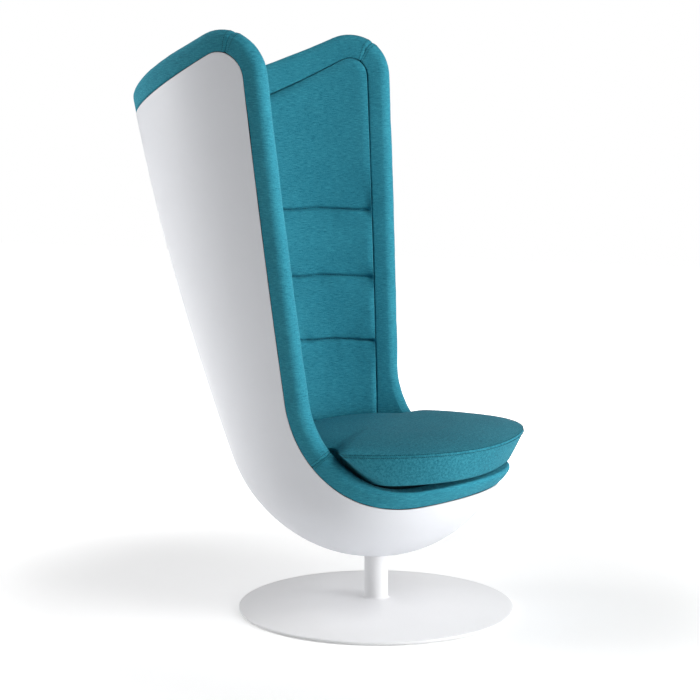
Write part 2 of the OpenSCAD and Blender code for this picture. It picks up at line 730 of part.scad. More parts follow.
module inner_liner() {
    first = front_steps + sweep_steps;
    zs = concat([for (s = [0 : 0.25 : 0.75]) mix(liner_bottom_z, half_edge[first][1], s)],
                [for (i = [first : 2 : first + level_steps]) half_edge[i][1]]);
    grid = wing_grid(liner_off, zs, top_steps);
    color(dark_teal) slab(on_wall(grid, liner_d), on_wall(grid, liner_d + liner_t));
}

// Lets the lower rows of a pad's grid sag towards the middle of the back
function pad_low(c) = pad_bottom_z - pad_sag * (1 - c * c);
function sagged(grid, off, cols) =
    let (shares = grid_shares(off, cols), span = pad_seam_z - pad_bottom_z)
    [for (row = grid) [for (k = [0 : len(row) - 1])
        let (c = shares[k][0], low = clamp01((pad_seam_z - row[k][1]) / span),
             z = row[k][1] - (pad_bottom_z - pad_low(c)) * low)
        [c * side_angle(z, off, true), z]]];

// Thickness of the back pad: full in each channel, drawn in at the seams and rounded at its edges
function plump(u) = pow(clamp01(4 * u * (1 - u)), 0.35);
function channel(z, top) =
    let (e = concat([pad_bottom_z], pad_seams_z, [top]))
    z < e[1] ? mix(0.5, 1, (z - e[0]) / (e[1] - e[0]))
    : z < e[2] ? (z - e[1]) / (e[2] - e[1])
    : z < e[3] ? (z - e[2]) / (e[3] - e[2])
    : mix(0, 0.5, (z - e[3]) / (e[4] - e[3]));
function rounding(dist) = sqrt(1 - pow(1 - clamp01(dist / pad_round), 2));
function pad_depth(e, share, top) =
    let (side = (1 - abs(share)) * side_angle(e[1], layer_off, true) * PI / 180 * side_r,
         edge = rounding(side) * rounding(top - e[1]) * rounding(e[1] - pad_low(share)),
         body = pad_t - pad_seam_depth * (1 - plump(channel(e[1], top))))
    pad_d + mix(pad_edge_t, max(pad_edge_t, body), edge);

module back_pad() {
    cols = top_steps;
    steps = [0, 0.13, 0.87];
    levels = concat([pad_bottom_z], pad_seams_z);
    zs = concat([for (i = [0 : 2], s = steps) mix(levels[i], levels[i + 1], s)], [fan_z]);
    grid = sagged(wing_grid(layer_off, zs, cols), layer_off, cols);
    shares = grid_shares(layer_off, cols);
    face = [for (row = grid) [for (k = [0 : len(row) - 1])
        wall(row[k][1], row[k][0], pad_depth(row[k], shares[k][0], shares[k][1]))]];
    color(teal) slab(on_wall(grid, pad_d), face);
}

module rim_front() { color(teal) rim(-seam_i, seam_i); }

module rim_left() { color(teal) rim(seam_i, tip_left_i); }

module rim_right() { color(teal) mirror([1, 0, 0]) rim(seam_i, tip_right_i); }

module rim_top() { color(teal) rim(tip_left_i, 2 * back_i - tip_right_i); }

// Ring that follows the inside of the bowl and carries the seat board
ledge_cols = 40;
module seat_ledge() {
    low = board_z - ledge_h;
    rings = [for (e = ring_cols)
        let (a = e[0], p = wall(low, a, shell_t + ledge_gap),
             q = wall(board_z, a, shell_t + ledge_gap), r = wall(board_z, a, shell_t + ledge_w))
        [p, r, q]];
    color("#b79a6c") ring_solid(rings, closed = true);
}

function board_outline(inset) = [for (i = [0 : 2 * ledge_cols - 1])
    let (p = wall(board_z, full_turn * (i / ledge_cols - 1) / 2, inset)) [p[0], p[1]]];
function board_screw_at(i) =
    let (a = full_turn * ((i + 0.5) / board_screw_count - 0.5), p = wall(board_z, a, board_screw_inset))
    [p[0], p[1], 0];

module seat_board() {
    color("#c7a877") difference() {
        translate([0, 0, board_z]) linear_extrude(height = board_t)
            polygon(board_outline(board_inset));
        for (i = [0 : board_screw_count - 1]) translate(board_screw_at(i)) {
            translate([0, 0, board_z - cut])
                cylinder(r = board_screw_r + hole_gap, h = board_t + 2 * cut, $fn = round_fn);
            translate([0, 0, board_z + board_t - board_screw_head_h])
                cylinder(r = board_screw_head_r + hole_gap, h = board_screw_head_h + cut,
                         $fn = round_fn);
        }
    }
}

module board_screws() {
    top = board_z + board_t;
    color(steel_grey) for (i = [0 : board_screw_count - 1]) translate(board_screw_at(i)) union() {
        translate([0, 0, top - board_screw_head_h])
            cylinder(r = board_screw_head_r, h = board_screw_head_h, $fn = round_fn);
        translate([0, 0, top - board_screw_l])
            cylinder(r = board_screw_r, h = board_screw_l - cut, $fn = round_fn);
    }
}

module seat_base() {
    floor_z = board_z + board_t + seat_gap;
    function level(s) = [for (i = [0 : ledge_cols - 1])
        let (a = full_turn * (i / ledge_cols - 0.5), y = wall(seat_base_z, a, base_inset)[1],
             z = mix(floor_z, seat_plane(y), s), p = wall(z, a, base_inset))
        [p[0], p[1], s == 1 ? seat_plane(p[1]) : z]];
    color(dark_teal) ring_solid([level(0), level(0.5), level(1)]);
}

// Outline of the loose cushion at a share of its height: wide in front, narrow between the wings
function cushion_top(y) =
    let (back = max(0, y - cushion_rear_from))
    cushion_low(-cushion_front_y) + cushion_edge_h - tan(cushion_fall) * (y + cushion_front_y)
        - back * back / (2 * cushion_rear_r);
function cushion_pt(a, high, inset) =
    let (low = 1 - high,
         front = cushion_front_y - cushion_taper_front * low - inset,
         rear = cushion_rear_y - cushion_taper_rear * low - inset,
         wide = cushion_front_w - cushion_taper_side * low - inset,
         narrow = cushion_rear_w - cushion_taper_rear * low - inset,
         y = cos(a) > 0 ? rear * pow(cos(a), 2 / cushion_power)
                        : -front * pow(-cos(a), 2 / cushion_power),
         turn = ease((cushion_neck_y() - cushion_neck_lean * low - y) / cushion_neck_w))
    [mix(narrow, wide, turn) * signed_pow(sin(a), 2 / cushion_power), y];
function cushion_ring(high, inset, lift = 0) = [for (a = cushion_angles)
    let (p = cushion_pt(a, high, inset))
    [p[0], p[1], mix(cushion_low(p[1]), cushion_top(p[1]), high) + lift]];

module seat_cushion() {
    edge = cushion_ring(1, 0);
    low = cushion_bottom_round / cushion_edge_h;
    high = 1 - cushion_top_round / cushion_edge_h;
    crown = [for (s = crown_shares)
        [for (p = edge)
            let (x = p[0] * (1 - s), y = p[1] * (1 - s))
            [x, y, cushion_top(y) + cushion_crown_h * pow(sin(90 * min(1, crown_rate * s)), crown_power)]]];
    rings = concat(
        [cushion_ring(0, cushion_bottom_round), cushion_ring(low, 0),
         cushion_ring(mix(low, high, 0.5), 0), cushion_ring(high, 0)],
        crown
    );
    color(teal) ring_solid(rings);
}

module cushion_zip() {
    mid = 0.5;
    half = zip_w / cushion_edge_h / 2;
    function strip(out) = [for (high = [mid - half, mid + half])
        [for (i = [0 : zip_cols])
            let (a = mix(-zip_half_angle, zip_half_angle, i / zip_cols),
                 p = cushion_pt(a, high, -out))
            [p[0], p[1], mix(cushion_low(p[1]), cushion_top(p[1]), high)]]];
    color("#1a2c33") slab(strip(seat_gap + zip_t), strip(seat_gap));
}

base_underlay();
base_disc();
column_tube();
column_weld();
lower_bush();
upper_bush();
thrust_washer();
swivel_hub();
retaining_washer();
retaining_screw();
mounting_plate();
plate_washers();
plate_bolts();
shell_screws();
outer_shell();
edge_profile();
inner_liner();
back_pad();
rim_front();
rim_left();
rim_right();
rim_top();
seat_ledge();
seat_board();
board_screws();
seat_base();
seat_cushion();
cushion_zip();
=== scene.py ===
import json
import math
import bmesh
import bpy
import numpy as np
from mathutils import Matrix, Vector, noise
from mathutils.kdtree import KDTree


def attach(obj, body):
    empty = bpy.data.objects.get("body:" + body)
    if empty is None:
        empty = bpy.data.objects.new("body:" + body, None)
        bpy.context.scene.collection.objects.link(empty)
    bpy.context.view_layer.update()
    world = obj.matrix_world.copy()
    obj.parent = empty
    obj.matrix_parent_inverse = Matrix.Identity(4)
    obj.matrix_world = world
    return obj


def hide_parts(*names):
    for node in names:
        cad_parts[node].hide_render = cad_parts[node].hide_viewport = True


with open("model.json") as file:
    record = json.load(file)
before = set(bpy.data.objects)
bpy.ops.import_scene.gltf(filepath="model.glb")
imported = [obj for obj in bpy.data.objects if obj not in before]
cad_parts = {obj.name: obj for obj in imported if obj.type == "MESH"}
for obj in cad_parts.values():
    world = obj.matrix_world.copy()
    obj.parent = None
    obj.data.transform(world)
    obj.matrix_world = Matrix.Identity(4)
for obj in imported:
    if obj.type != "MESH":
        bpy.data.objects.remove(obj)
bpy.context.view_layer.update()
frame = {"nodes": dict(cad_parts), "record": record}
scene = bpy.context.scene
scene.view_settings.view_transform = "Standard"

# The pod's sizes in millimetres and degrees, the same as in part.scad
BASE_D, BASE_EDGE, DOME_H, UNDERLAY, ACCESS_D = 700, 6.5, 20, 1.5, 40
COLUMN_D, WELD, FLANGE = 60.3, 4.6, 34
SHELL_Z, SHELL_T = 145, 8
SIDE_R, SIDE_KNEE, SIDE_LEAN, SIDE_LINE = 308, 344, 9.8, 12200
BACK_R, BACK_KNEE, BACK_LEAN, BACK_LINE = 366, 402, 20.7, 4630
FRONT_R, FRONT_KNEE = 373, 605
BOWL_P, BACK_P, CENTRE_LEAN = 2.12, 2.22, 5.84
FRONT_Z, FRONT_FALL, SWEEP_R = 338, 8.5, 275
WING_Y, WING_Z, WING_LEAN, TIP_R = 105, 500, 4.35, 64
TOP_Z, TOP_FALL = 1231, 25.5
RIM_T, RIM_OUT, RIM_CROWN, SWELL, RIM_IN = 50, 23, 48, 12, 25
FRONT_OUT, FRONT_IN, BULGE, RIM_BACK = 49, 30, 8, 10
LINER_T, PAD_T, PAD_SEAM, PAD_LOW_Z, PAD_SAG = 7, 42, 13, 448, 24
SEAMS = [645, 813, 990]
BOARD_Z, BOARD_T, BASE_Z, SEAT_FALL = 284, 14, 389, 2
EDGE_H, CUSH_FALL, CUSH_REAR_R, CROWN = 76, 1.6, 1450, 19
CUSH_FW, CUSH_RW, CUSH_FY, CUSH_RY = 335, 258, 368, 306
RIM_START, FLUSH, OVAL = 2.0, 0.8, 2.15
SHELL_GAP, PAD_GAP, EDGE_GAP, SEAT_LIP, WELD_LIP = 0.6, 1.1, 1, 6, 2
HOLE_R, SEAT_R, BOSS_Z = 27, COLUMN_D / 2 + SEAT_LIP, 167
LINER_D = SHELL_T + SHELL_GAP
PAD_D = LINER_D + LINER_T + PAD_GAP
LAYER_OFF = -RIM_BACK - EDGE_GAP
MM = 0.001
# Least lengths to divide by: of a vector, and of a movement in millimetres
TINY, STILL = 1e-12, 1e-9


def sin(a):
    return np.sin(np.radians(a))


def cos(a):
    return np.cos(np.radians(a))


def tan(a):
    return math.tan(math.radians(a))


def spow(v, p):
    return np.sign(v) * np.abs(v) ** p


def mix(a, b, s):
    return a + (b - a) * s


def clamp(v):
    return np.clip(v, 0, 1)


def ease(v):
    u = clamp(v)
    return u * u * (3 - 2 * u)


def rounding(dist, r):
    """Height, from 0 to 1, of a round edge of radius r at the distance dist from its foot."""
    return np.sqrt(1 - (1 - clamp(dist / r)) ** 2)


def unit(v):
    return v / np.maximum(np.linalg.norm(v, axis=-1, keepdims=True), TINY)


def arr(*v):
    return np.stack(np.broadcast_arrays(*[np.asarray(x, float) for x in v]), -1)


def lengths(p):
    """Distance along the points p, from the first to each."""
    return np.concatenate([[0], np.cumsum(np.linalg.norm(np.diff(p, axis=0), axis=1))])


# The pod's surface: z is a height, a an angle from the back, d a depth under the outside
def reach(z, r, knee, lean, line_r, d):
    h = np.asarray(z, float) - knee
    low = clamp(-h / (knee - SHELL_Z - d))
    straight = r - d + tan(lean) * h - np.where(h > 0, h * h / (2 * line_r), 0)
    return straight * np.maximum(0, 1 - low ** BOWL_P) ** (1 / BOWL_P)


def side_at(z, d=0):
    return reach(z, SIDE_R, SIDE_KNEE, SIDE_LEAN, SIDE_LINE, d)


def back_at(z, d=0):
    return reach(z, BACK_R, BACK_KNEE, BACK_LEAN, BACK_LINE, d)


def front_at(z, d=0):
    return reach(z, FRONT_R, FRONT_KNEE, 0, SIDE_LINE, d)


def centre_at(z):
    return tan(CENTRE_LEAN) * np.maximum(0, np.asarray(z, float) - FRONT_KNEE)


def wall(z, a, d=0):
    s, c, yc, x = sin(a), cos(a), centre_at(z), side_at(z, d)
    bx = x * spow(s, 2 / BACK_P)
    by = yc + (back_at(z, d) - yc) * np.maximum(c, 0) ** (2 / BACK_P)
    fx, fy = x * s, yc + (front_at(z, d) + yc) * c
    return arr(np.where(c >= 0, bx, fx), np.where(c >= 0, by, fy), z)


def angle_at(y, z):
    yc = centre_at(z)
    back = clamp((y - yc) / (back_at(z) - yc)) ** (BACK_P / 2)
    front = np.clip((y - yc) / (front_at(z) + yc), -1, 0)
    return np.degrees(np.arccos(np.where(y >= yc, back, front)))


# The opening's edge in side view, as [y, z]
def meet(p, u, q, v):
    """Where the line through p along u meets the line through q along v."""
    w = q - p
    return p + u * (w[0] * v[1] - w[1] * v[0]) / (u[0] * v[1] - u[1] * v[0])


front_p = np.array([-float(front_at(FRONT_Z)), FRONT_Z])
front_u = np.array([cos(FRONT_FALL), -sin(FRONT_FALL)])
front_n = np.array([sin(FRONT_FALL), cos(FRONT_FALL)])
wing_p = np.array([WING_Y, WING_Z])
wing_u = np.array([sin(WING_LEAN), cos(WING_LEAN)])
wing_n = np.array([-cos(WING_LEAN), sin(WING_LEAN)])
top_p = np.array([float(back_at(TOP_Z)), TOP_Z])
top_u = np.array([cos(TOP_FALL), -sin(TOP_FALL)])
top_n = np.array([sin(TOP_FALL), cos(TOP_FALL)])
sweep_c = meet(front_p + SWEEP_R * front_n, front_u, wing_p + SWEEP_R * wing_n, wing_u)
tip_c = meet(wing_p - TIP_R * wing_n, wing_u, top_p - TIP_R * top_n, top_u)
SWEEP0, SWEEP1, TIP0, TIP1 = -90 - FRONT_FALL, -WING_LEAN, 180 - WING_LEAN, 90 - TOP_FALL


def sweep_pt(a, off=0):
    return sweep_c + (SWEEP_R - off) * arr(cos(a), sin(a))


def tip_pt(a, off=0):
    return tip_c + (TIP_R + off) * arr(cos(a), sin(a))


def wing_edge_y(z, off=0, straight=False):
    """y of the wing's edge, moved out by off; a straight one leaves the sweep out."""
    z = np.asarray(z, float)
    low, high = sweep_pt(SWEEP1, off), tip_pt(TIP0, off)
    y = low[0] + (z - low[1]) * tan(WING_LEAN)
    tip = tip_c[0] - np.sqrt(np.maximum(0, (TIP_R + off) ** 2 - (z - tip_c[1]) ** 2))
    y = np.where(z >= high[1], tip, y)
    if not straight:
        sweep = sweep_c[0] + np.sqrt(np.maximum(0, (SWEEP_R - off) ** 2 - (z - sweep_c[1]) ** 2))
        y = np.where(z < low[1], sweep, y)
    return y


def side_angle(z, off=0, straight=False):
    return angle_at(wing_edge_y(z, off, straight), z)


LINE_ROUNDS = 8


def line_z(a, p, fall):
    """Height of the sloping plane through p over the wall at the angles a, settled in rounds."""
    z = np.full(np.shape(a), float(p[1]))
    for _ in range(LINE_ROUNDS):
        z = p[1] - tan(fall) * (wall(z, a)[..., 1] - p[0])
    return z


def top_line(a, off=0):
    return line_z(a, top_p + off * top_n, TOP_FALL)


FRONT_A = float(angle_at(*sweep_pt(SWEEP0)))
TOP_A = float(angle_at(*tip_pt(TIP1)))
# Places on the edge are counted as in part.scad: 0 at the front's middle and 56 at the back's,
# with the sweep, the wing and the tip between; PEAK_AT is the tip's highest place
SWEEP_AT, WING_AT, TIP_AT, PEAK_AT, TOP_AT, BACK_AT = 8, 24, 34, 39, 42, 56
SEAM_AT, TIP_LEFT, TIP_RIGHT = 18, 37, 38
RIGHT_AT = 2 * BACK_AT - TIP_RIGHT


def edge_at(t):
    """[angle, z] of the edge at the places t; it wraps round the whole loop."""
    t = np.asarray(t, float)
    w = (t + BACK_AT) % (2 * BACK_AT) - BACK_AT
    sgn, u = np.where(w < 0, -1, 1), np.abs(w)
    a = mix(180, FRONT_A, clamp(u / SWEEP_AT))
    z = line_z(a, front_p, FRONT_FALL)
    for lo, hi, curve in (
        (SWEEP_AT, WING_AT, lambda s: sweep_pt(mix(SWEEP0, SWEEP1, s))),
        (WING_AT, TIP_AT, lambda s: mix(sweep_pt(SWEEP1), tip_pt(TIP0), s[..., None])),
        (TIP_AT, PEAK_AT, lambda s: tip_pt(mix(TIP0, 90, s))),
        (PEAK_AT, TOP_AT, lambda s: tip_pt(mix(90, TIP1, s))),
    ):
        p = curve(clamp((u - lo) / (hi - lo)))
        inside = (u >= lo) & (u < hi)
        a = np.where(inside, angle_at(p[..., 0], p[..., 1]), a)
        z = np.where(inside, p[..., 1], z)
    at = TOP_A * (1 - clamp((u - TOP_AT) / (BACK_AT - TOP_AT)))
    a, z = np.where(u >= TOP_AT, at, a), np.where(u >= TOP_AT, top_line(at), z)
    return sgn * a, z


def loop_pt(t):
    a, z = edge_at(t)
    return wall(z, a)


HALF = 0.5  # half of a difference's step, in degrees, millimetres or places


def past_edge(t, deep, high):
    """Points at the depth deep behind the outside and the height high over the edge."""
    a, z = edge_at(t)
    n = unit(np.cross(wall(z, a + HALF) - wall(z, a - HALF), wall(z + HALF, a) - wall(z - HALF, a)))
    tan_t = unit(loop_pt(t + HALF) - loop_pt(t - HALF))
    return loop_pt(t) + n * deep[..., None] + unit(np.cross(tan_t, n)) * high[..., None]


def near_angle(p):
    yc = centre_at(p[..., 2])
    back = p[..., 1] >= yc
    k = np.where(back, BACK_P / 2, 1)
    y = (p[..., 1] - yc) / np.where(back, back_at(p[..., 2]) - yc, front_at(p[..., 2]) + yc)
    x = p[..., 0] / side_at(p[..., 2])
    return np.degrees(np.arctan2(spow(x, k), spow(y, k)))


def behind_edge(t, deep, back):
    """Points of the wall at the depth deep, back millimetres in from the edge."""
    p = past_edge(t, np.zeros_like(t), -back)
    return wall(p[..., 2], near_angle(p), deep)


# Section of the stuffed rim, as [depth, height over the edge]: on the wings, and at the front
def oval(p, q, s):
    return [mix(p[0], q[0], s[0] ** (2 / OVAL)), mix(p[1], q[1], s[1] ** (2 / OVAL))]


# QUARTER is the angles of a quarter oval's points; FRONT_LIP and FRONT_TOP are shares of the sizes
QUARTER = (0, 22, 45, 68)
FRONT_LIP = ((0.6, 0.35), (0.9, 0.6), (1, 0.8), (0.8, 0.92), (0.2, 1))
FRONT_TOP = ((0.2, 0.25), (0.42, 0.5), (0.66, 0.75), (0.88, 1))
FRONT_FOOT = 0.6
wing_section = np.array(
    [[FLUSH, mix(RIM_START, RIM_OUT, 0.5)]]
    + [oval([RIM_T / 2, RIM_OUT], [FLUSH, RIM_CROWN], [cos(a), sin(a)]) for a in QUARTER]
    + [oval([RIM_T / 2, RIM_IN], [RIM_T, RIM_CROWN], [sin(a), cos(a)]) for a in QUARTER]
    + [[RIM_T, RIM_IN]])
front_section = np.array(
    [[FLUSH - BULGE * s, FRONT_OUT * h] for s, h in FRONT_LIP]
    + [[RIM_T * s, mix(FRONT_OUT, FRONT_IN, h)] for s, h in FRONT_TOP]
    + [[RIM_T, FRONT_IN * FRONT_FOOT]])
# Height at which the rim starts to widen inward beside the seat, and over what height it does
FLARE_Z, FLARE_RUN = 385, 45


def back_reach(t):
    """How far the rim reaches in from the edge; where the edge sweeps forward, back to the pad."""
    p, q = loop_pt(t), loop_pt(t + 1) - loop_pt(t - 1)
    u = unit(q[..., 1:])
    gap = wing_edge_y(p[..., 2], 0, True) - p[..., 1] + RIM_BACK
    share = ease((p[..., 2] - FLARE_Z) / FLARE_RUN)
    wide = mix(RIM_BACK, gap / (np.abs(u[..., 1]) + tan(WING_LEAN) * np.abs(u[..., 0])), share)
    keep = (p[..., 2] > sweep_pt(SWEEP1)[1]) | (p[..., 2] < FLARE_Z)
    return np.where(keep, RIM_BACK, wide)


def spline(p, n):
    """Catmull-Rom curve through the control points p along axis 1, with n points a span."""
    a = np.concatenate([2 * p[:, :1] - p[:, 1:2], p, 2 * p[:, -1:] - p[:, -2:-1]], 1)
    out = []
    for k in range(p.shape[1] - 1):
        p0, p1, p2, p3 = (a[:, k + j][:, None] for j in range(4))
        s = (np.arange(n) / n)[None, :, None]
        out.append(0.5 * (2 * p1 + (p2 - p0) * s + (2 * p0 - 5 * p1 + 4 * p2 - p3) * s ** 2
                          + (3 * p1 - p0 - 3 * p2 + p3) * s ** 3))
    return np.concatenate(out + [p[:, -1:]], 1)


EDGE_SAMPLES, FEWEST = 1200, 8


def even(t0, t1, step):
    """Distances along the edge from t0 to t1, their places, and how many steps fit."""
    t = np.linspace(t0, t1, EDGE_SAMPLES)
    d = lengths(loop_pt(t))
    return d, t, max(FEWEST, int(d[-1] / step))


SEED_X, SEED_Y, SEED_Z = 7.3, 3.1, 5.7


def soft(co, scale, amp, seed):
    """Smooth random offsets in millimetres for points in millimetres."""
    s = Vector((seed * SEED_X, seed * SEED_Y, seed * SEED_Z))
    return amp * np.array([noise.noise(Vector(p) * scale + s) for p in co])


# Meshes
def finish_mesh(name, pts, faces, body, mat, sharp=None):
    """Object of points in millimetres, smooth but for edges sharper than sharp degrees."""
    me = bpy.data.meshes.new(name)
    me.from_pydata([tuple(p) for p in np.asarray(pts, float).reshape(-1, 3) * MM], [], faces)
    bm = bmesh.new()
    bm.from_mesh(me)
    bmesh.ops.recalc_face_normals(bm, faces=bm.faces)
    bm.to_mesh(me)
    bm.free()
    me.polygons.foreach_set("use_smooth", [True] * len(me.polygons))
    if sharp:
        me.set_sharp_from_angle(angle=math.radians(sharp))
    ob = bpy.data.objects.new(name, me)
    scene.collection.objects.link(ob)
    me.materials.append(mat)
    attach(ob, body)
    return ob


def ring_faces(m, n, closed=False):
    """Faces of m rings of n points: a closed ring of rings, or a tube with two caps."""
    faces = [(i * n + j, ((i + 1) % m) * n + j, ((i + 1) % m) * n + (j + 1) % n, i * n + (j + 1) % n)
             for i in range(m if closed else m - 1) for j in range(n)]
    if not closed:
        faces += [tuple(range(n)), tuple(range((m - 1) * n, m * n))]
    return faces


def slab_faces(rows, cols):
    """Faces of two grids of the same size, one behind the other, joined round their edges."""
    n = rows * cols
    loop = (list(range(cols)) + [i * cols + cols - 1 for i in range(1, rows)]
            + [(rows - 1) * cols + j for j in range(cols - 2, -1, -1)]
            + [i * cols for i in range(rows - 2, 0, -1)])
    faces = []
    for i in range(rows - 1):
        for j in range(cols - 1):
            a = i * cols + j
            q = (a, a + 1, a + cols + 1, a + cols)
            faces += [q, tuple(n + v for v in reversed(q))]
    for k, a in enumerate(loop):
        b = loop[(k + 1) % len(loop)]
        faces.append((a, n + a, n + b, b))
    return faces


# Materials: all procedural, on object coordinates, which are metres in the chair's frame
class Nodes:
    def __init__(self, name):
        self.mat = bpy.data.materials.new(name)
        self.mat.use_nodes = True
        self.t = self.mat.node_tree
        self.b = self.t.nodes["Principled BSDF"]
        self.co = self.t.nodes.new("ShaderNodeTexCoord").outputs["Object"]

    def add(self, kind, **kw):
        n = self.t.nodes.new(kind)
        for k, v in kw.items():
            setattr(n, k, v)
        return n

    def link(self, a, b):
        self.t.links.new(a, b)

    def scaled(self, x, y, z):
        n = self.add("ShaderNodeMapping")
        n.inputs["Scale"].default_value = (x, y, z)
        self.link(self.co, n.inputs["Vector"])
        return n.outputs["Vector"]

    def noise(self, scale=1.0, detail=2.0, rough=0.5, at=None):
        n = self.add("ShaderNodeTexNoise")
        n.inputs["Scale"].default_value = scale
        n.inputs["Detail"].default_value = detail
        n.inputs["Roughness"].default_value = rough
        self.link(self.co if at is None else at, n.inputs["Vector"])
        return n.outputs["Fac"]

    def ramp(self, fac, stops, socket):
        """Colour ramp of (place, colour or grey) on the shader's socket."""
        n = self.add("ShaderNodeValToRGB")
        e = n.color_ramp.elements
        rgba = [(p, (*(c if isinstance(c, tuple) else (c,) * 3), 1)) for p, c in stops]
        e[0].position, e[0].color = rgba[0]
        e[1].position, e[1].color = rgba[-1]
        for p, c in rgba[1:-1]:
            e.new(p).color = c
        self.link(fac, n.inputs["Fac"])
        self.link(n.outputs["Color"], self.b.inputs[socket])

    def math(self, op, a, b):
        n = self.add("ShaderNodeMath", operation=op)
        for k, v in enumerate((a, b)):
            if isinstance(v, (int, float)):
                n.inputs[k].default_value = v
            else:
                self.link(v, n.inputs[k])
        return n.outputs[0]

    def bump(self, height, strength, distance, onto=None):
        n = self.add("ShaderNodeBump")
        n.inputs["Strength"].default_value = strength
        n.inputs["Distance"].default_value = distance
        self.link(height, n.inputs["Height"])
        if onto is not None:
            self.link(onto, n.inputs["Normal"])
        self.link(n.outputs["Normal"], self.b.inputs["Normal"])
        return n.outputs["Normal"]

    def set(self, **kw):
        for k, v in kw.items():
            self.b.inputs[k.replace("_", " ")].default_value = v


# Across the streaks runs a second set: fast where they are slow, and slow where they are fast
SLOW_ROW, CROSS_FAST, CROSS_SLOW = 200, 1500, 170
STREAK_SHARE, CROSS_SHARE, GRAIN_SHARE, BLOTCH_SHARE = 0.46, 0.27, 0.27, 0.1


def cloth(name, rows, dark, mid, light):
    """Fine cross weave: rows gives how fast the streaks change along x, y and z, per metre."""
    n = Nodes(name)
    across = [CROSS_FAST if r < SLOW_ROW else CROSS_SLOW for r in rows]
    streak = n.noise(detail=2, rough=0.6, at=n.scaled(*rows))
    cross = n.noise(detail=1, rough=0.5, at=n.scaled(*across))
    grain = n.noise(scale=1900, detail=1, rough=0.5)
    blotch = n.noise(scale=7, detail=3, rough=0.6)
    fac = n.math("ADD", n.math("MULTIPLY", streak, STREAK_SHARE), n.math("MULTIPLY", cross, CROSS_SHARE))
    fac = n.math("ADD", fac, n.math("MULTIPLY", grain, GRAIN_SHARE))
    drift = n.math("MULTIPLY", n.math("SUBTRACT", blotch, 0.5), BLOTCH_SHARE)
    tone = n.math("ADD", fac, drift)
    n.ramp(tone, [(0.36, dark), (0.5, mid), (0.64, light)], "Base Color")
    n.ramp(streak, [(0.3, 0.8), (0.7, 0.93)], "Roughness")
    n.bump(fac, strength=0.6, distance=0.0013, onto=n.bump(blotch, strength=0.12, distance=0.004))
    n.set(Sheen_Weight=0.06, Sheen_Roughness=0.4, Sheen_Tint=(0.3, 0.8, 1.0, 1), Specular_IOR_Level=0.18)
    return n.mat


TEAL = ((0.011, 0.138, 0.2), (0.026, 0.238, 0.322), (0.056, 0.36, 0.458))
THREAD = ((0.002, 0.022, 0.032), (0.003, 0.032, 0.045), (0.006, 0.05, 0.066))
# The seat's cloth is the same teal darkened to 0.85 of its tone: painted shade for the dimmer light down in
# the seat between the wings and the back
SEAT_PAINTED_SHADE = 0.85
SEAT_TEAL_PAINTED_SHADE = [tuple(SEAT_PAINTED_SHADE * c for c in tone) for tone in TEAL]
teal = cloth("teal_weave", (75, 75, 900), *TEAL)
teal_seat_painted_shade = cloth("teal_weave_seat_painted_shade", (380, 620, 820), *SEAT_TEAL_PAINTED_SHADE)
thread = cloth("seam_thread", (900, 900, 1800), *THREAD)


def felt(name, dark, light):
    n = Nodes(name)
    f = n.noise(scale=700, detail=3, rough=0.7)
    n.ramp(f, [(0.35, dark), (0.65, light)], "Base Color")
    n.set(Roughness=0.95, Specular_IOR_Level=0.15, Sheen_Weight=0.15)
    n.bump(f, strength=0.6, distance=0.001)
    return n.mat


# The liner is a real layer, but its near-black tone is partly painted shade: it stands in for the deep
# shade in the gap behind the pad's foot
dark_felt = felt("dark_felt", dark=(0.004, 0.03, 0.04), light=(0.012, 0.055, 0.07))
# Plastic and paint: tone of the darker drifts, and how much smoother and rougher they get
DARKER, SMOOTHER, ROUGHER = 0.975, 0.03, 0.04


def moulded(name, colour, rough, peel, scale, coat=0.0):
    """Plastic or paint with a fine peel, and faint drifts of tone and gloss."""
    n = Nodes(name)
    fine, drift = n.noise(scale=scale, detail=2, rough=0.5), n.noise(scale=5, detail=3, rough=0.55)
    n.ramp(drift, [(0.3, tuple(c * DARKER for c in colour)), (0.7, colour)], "Base Color")
    n.ramp(drift, [(0.3, rough - SMOOTHER), (0.7, rough + ROUGHER)], "Roughness")
    n.bump(fine, strength=peel, distance=0.0004)
    n.set(Coat_Weight=coat, Coat_Roughness=0.25)
    return n.mat


shell_white = moulded("shell_white", (0.82, 0.835, 0.875), rough=0.42, peel=0.06, scale=260, coat=0.12)
base_white = moulded("base_white", (0.86, 0.86, 0.87), rough=0.48, peel=0.12, scale=1500)
bush_plastic = moulded("bush_plastic", (0.68, 0.64, 0.52), rough=0.5, peel=0.1, scale=500)
# The edge trim's black is painted shadow: it draws the thin shadow line between the shell's edge and the
# rim
edge_black = moulded("edge_black", (0.012, 0.014, 0.016), rough=0.6, peel=0.2, scale=800)
sheet_black = moulded("sheet_black", (0.02, 0.021, 0.024), rough=0.85, peel=0.5, scale=500)
zip_black = moulded("zip_black", (0.012, 0.03, 0.038), rough=0.6, peel=0.3, scale=900)


def metal():
    n = Nodes("steel")
    f = n.noise(detail=3, rough=0.6, at=n.scaled(40, 40, 900))
    n.ramp(f, [(0.3, (0.38, 0.39, 0.4)), (0.7, (0.58, 0.59, 0.6))], "Base Color")
    n.ramp(f, [(0.3, 0.28), (0.7, 0.42)], "Roughness")
    n.bump(f, strength=0.15, distance=0.0003)
    n.set(Metallic=1.0)
    return n.mat


def wood():
    n = Nodes("plywood")
    f = n.noise(detail=4, rough=0.6, at=n.scaled(90, 9, 400))
    g = n.noise(scale=12, detail=2, rough=0.5)
    fac = n.math("ADD", n.math("MULTIPLY", f, 0.8), n.math("MULTIPLY", g, 0.2))
    n.ramp(fac, [(0.35, (0.42, 0.27, 0.13)), (0.55, (0.62, 0.45, 0.26)), (0.7, (0.72, 0.57, 0.37))],
           "Base Color")
    n.set(Roughness=0.62)
    n.bump(f, strength=0.2, distance=0.0006)
    return n.mat


